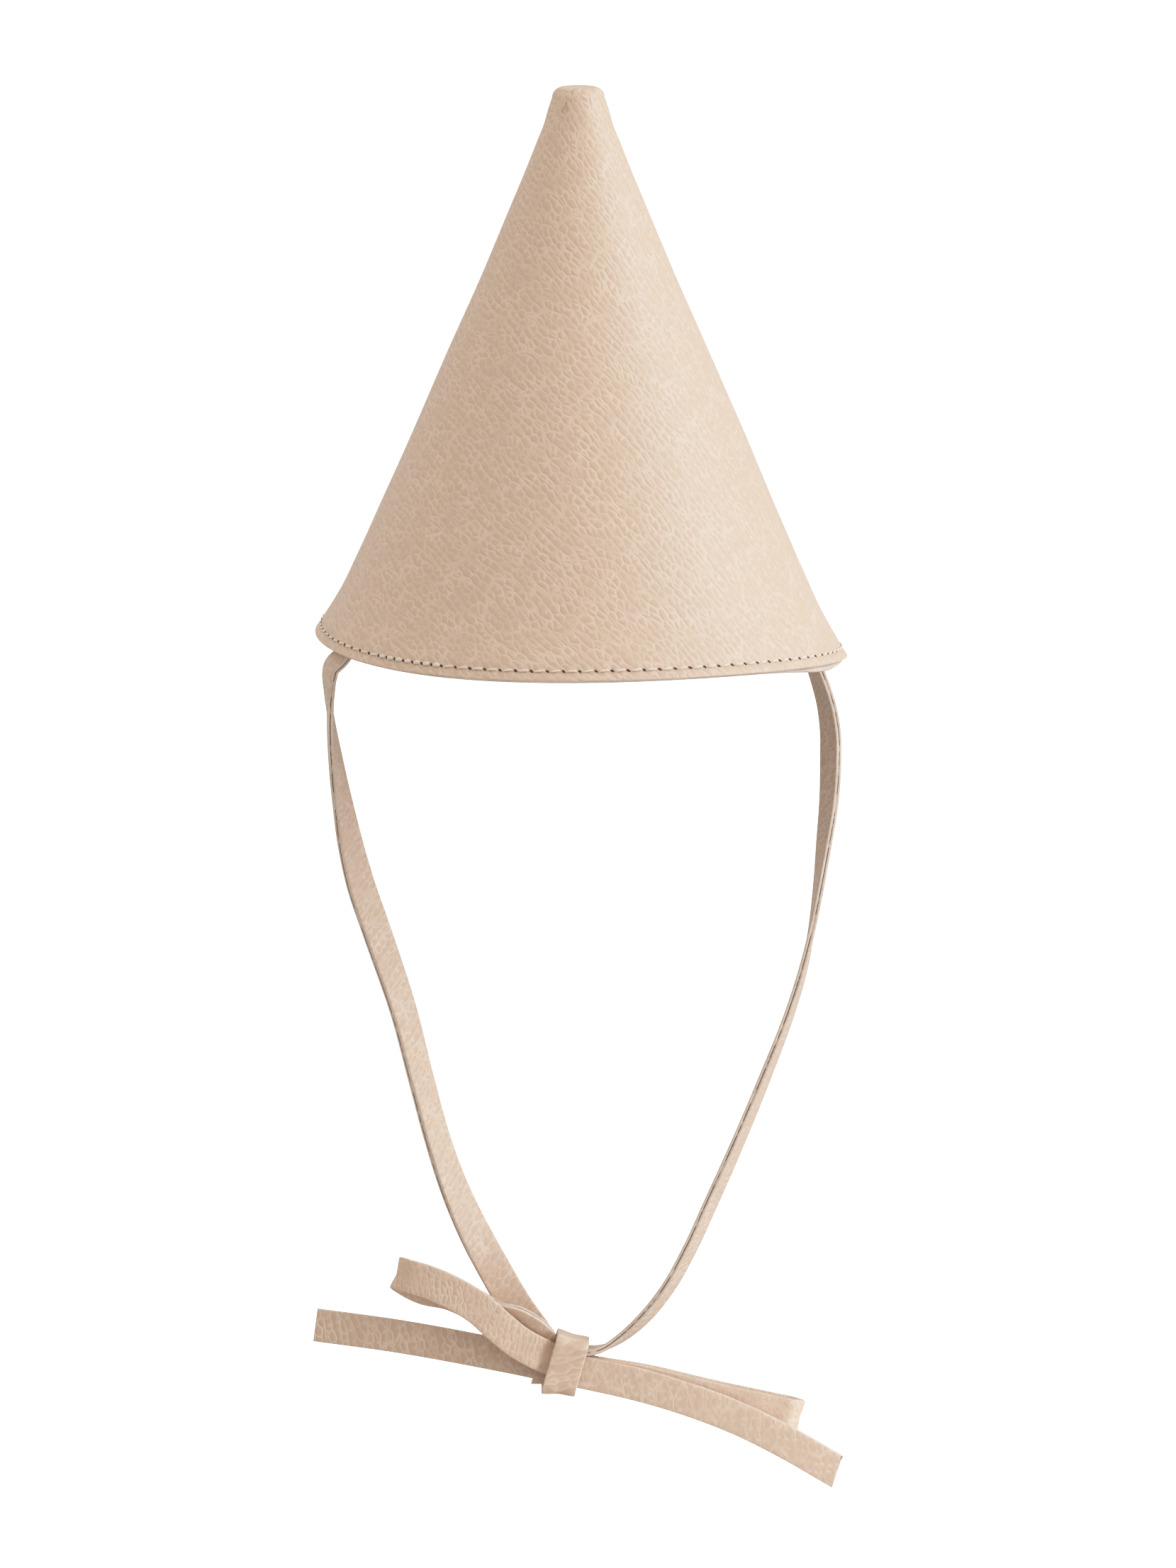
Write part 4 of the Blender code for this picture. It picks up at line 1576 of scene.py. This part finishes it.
def set_tones(view):
    """A soft shoulder, as a camera gives: bright tones are held back and turn paler."""
    view.view_transform = "Standard"
    view.use_curve_mapping = True
    mapping = view.curve_mapping
    mapping.white_level = (TONE_RANGE, TONE_RANGE, TONE_RANGE)
    curve = mapping.curves[3]
    for light, tone in TONES:
        curve.points.new(light / TONE_RANGE, tone)
    mapping.update()


class HAT_OT_set_stage(bpy.types.Operator):
    """Set up the camera, the lights and the pale floor."""

    bl_idname = "hat.set_stage"
    bl_label = "Set Stage"

    def execute(self, context):
        stage = context.scene.hat_stage
        aim = Vector(stage.aim)
        make_camera(stage, aim)
        add_light("key", stage.key_power, *KEY_LIGHT, aim)
        add_light("fill", stage.fill_power, *FILL_LIGHT, aim)
        add_light("low", stage.low_power, *LOW_LIGHT, Vector(bow_point(*LOW_LIGHT_AIM)) * MM)
        make_floor(stage)
        make_world(stage)
        set_tones(context.scene.view_settings)
        return {"FINISHED"}


class HAT_PT_panel(bpy.types.Panel):
    """The hat's sizes and the buttons that make its pieces."""

    bl_idname = "HAT_PT_panel"
    bl_label = "Party Hat"
    bl_space_type = "VIEW_3D"
    bl_region_type = "UI"
    bl_category = "Party Hat"

    def draw(self, context):
        layout = self.layout
        for held in GROUPS:
            group = getattr(context.scene, held)
            box = layout.box()
            for name in group.__annotations__:
                box.prop(group, name)
        for step in STEPS:
            layout.operator(step.bl_idname)


STEPS = (
    HAT_OT_make_crown,
    HAT_OT_make_facing,
    HAT_OT_make_ties,
    HAT_OT_make_bow,
    HAT_OT_make_knot,
    HAT_OT_make_stitches,
    HAT_OT_set_stage,
)
GROUPS = {
    "hat_sizes": HatSizes,
    "hat_stitching": HatStitching,
    "hat_colours": HatColours,
    "hat_stage": HatStage,
}


def register():
    for kind in (*GROUPS.values(), *STEPS, HAT_PT_panel):
        bpy.utils.register_class(kind)
    for name, group in GROUPS.items():
        setattr(bpy.types.Scene, name, PointerProperty(type=group))


def unregister():
    for name in GROUPS:
        delattr(bpy.types.Scene, name)
    for kind in (HAT_PT_panel, *reversed(STEPS), *GROUPS.values()):
        bpy.utils.unregister_class(kind)


def main():
    register()
    bpy.ops.hat.make_crown()
    bpy.ops.hat.make_facing()
    bpy.ops.hat.make_ties()
    bpy.ops.hat.make_bow()
    bpy.ops.hat.make_knot()
    bpy.ops.hat.make_stitches()
    bpy.ops.hat.set_stage()
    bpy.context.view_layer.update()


if __name__ == "__main__":
    main()
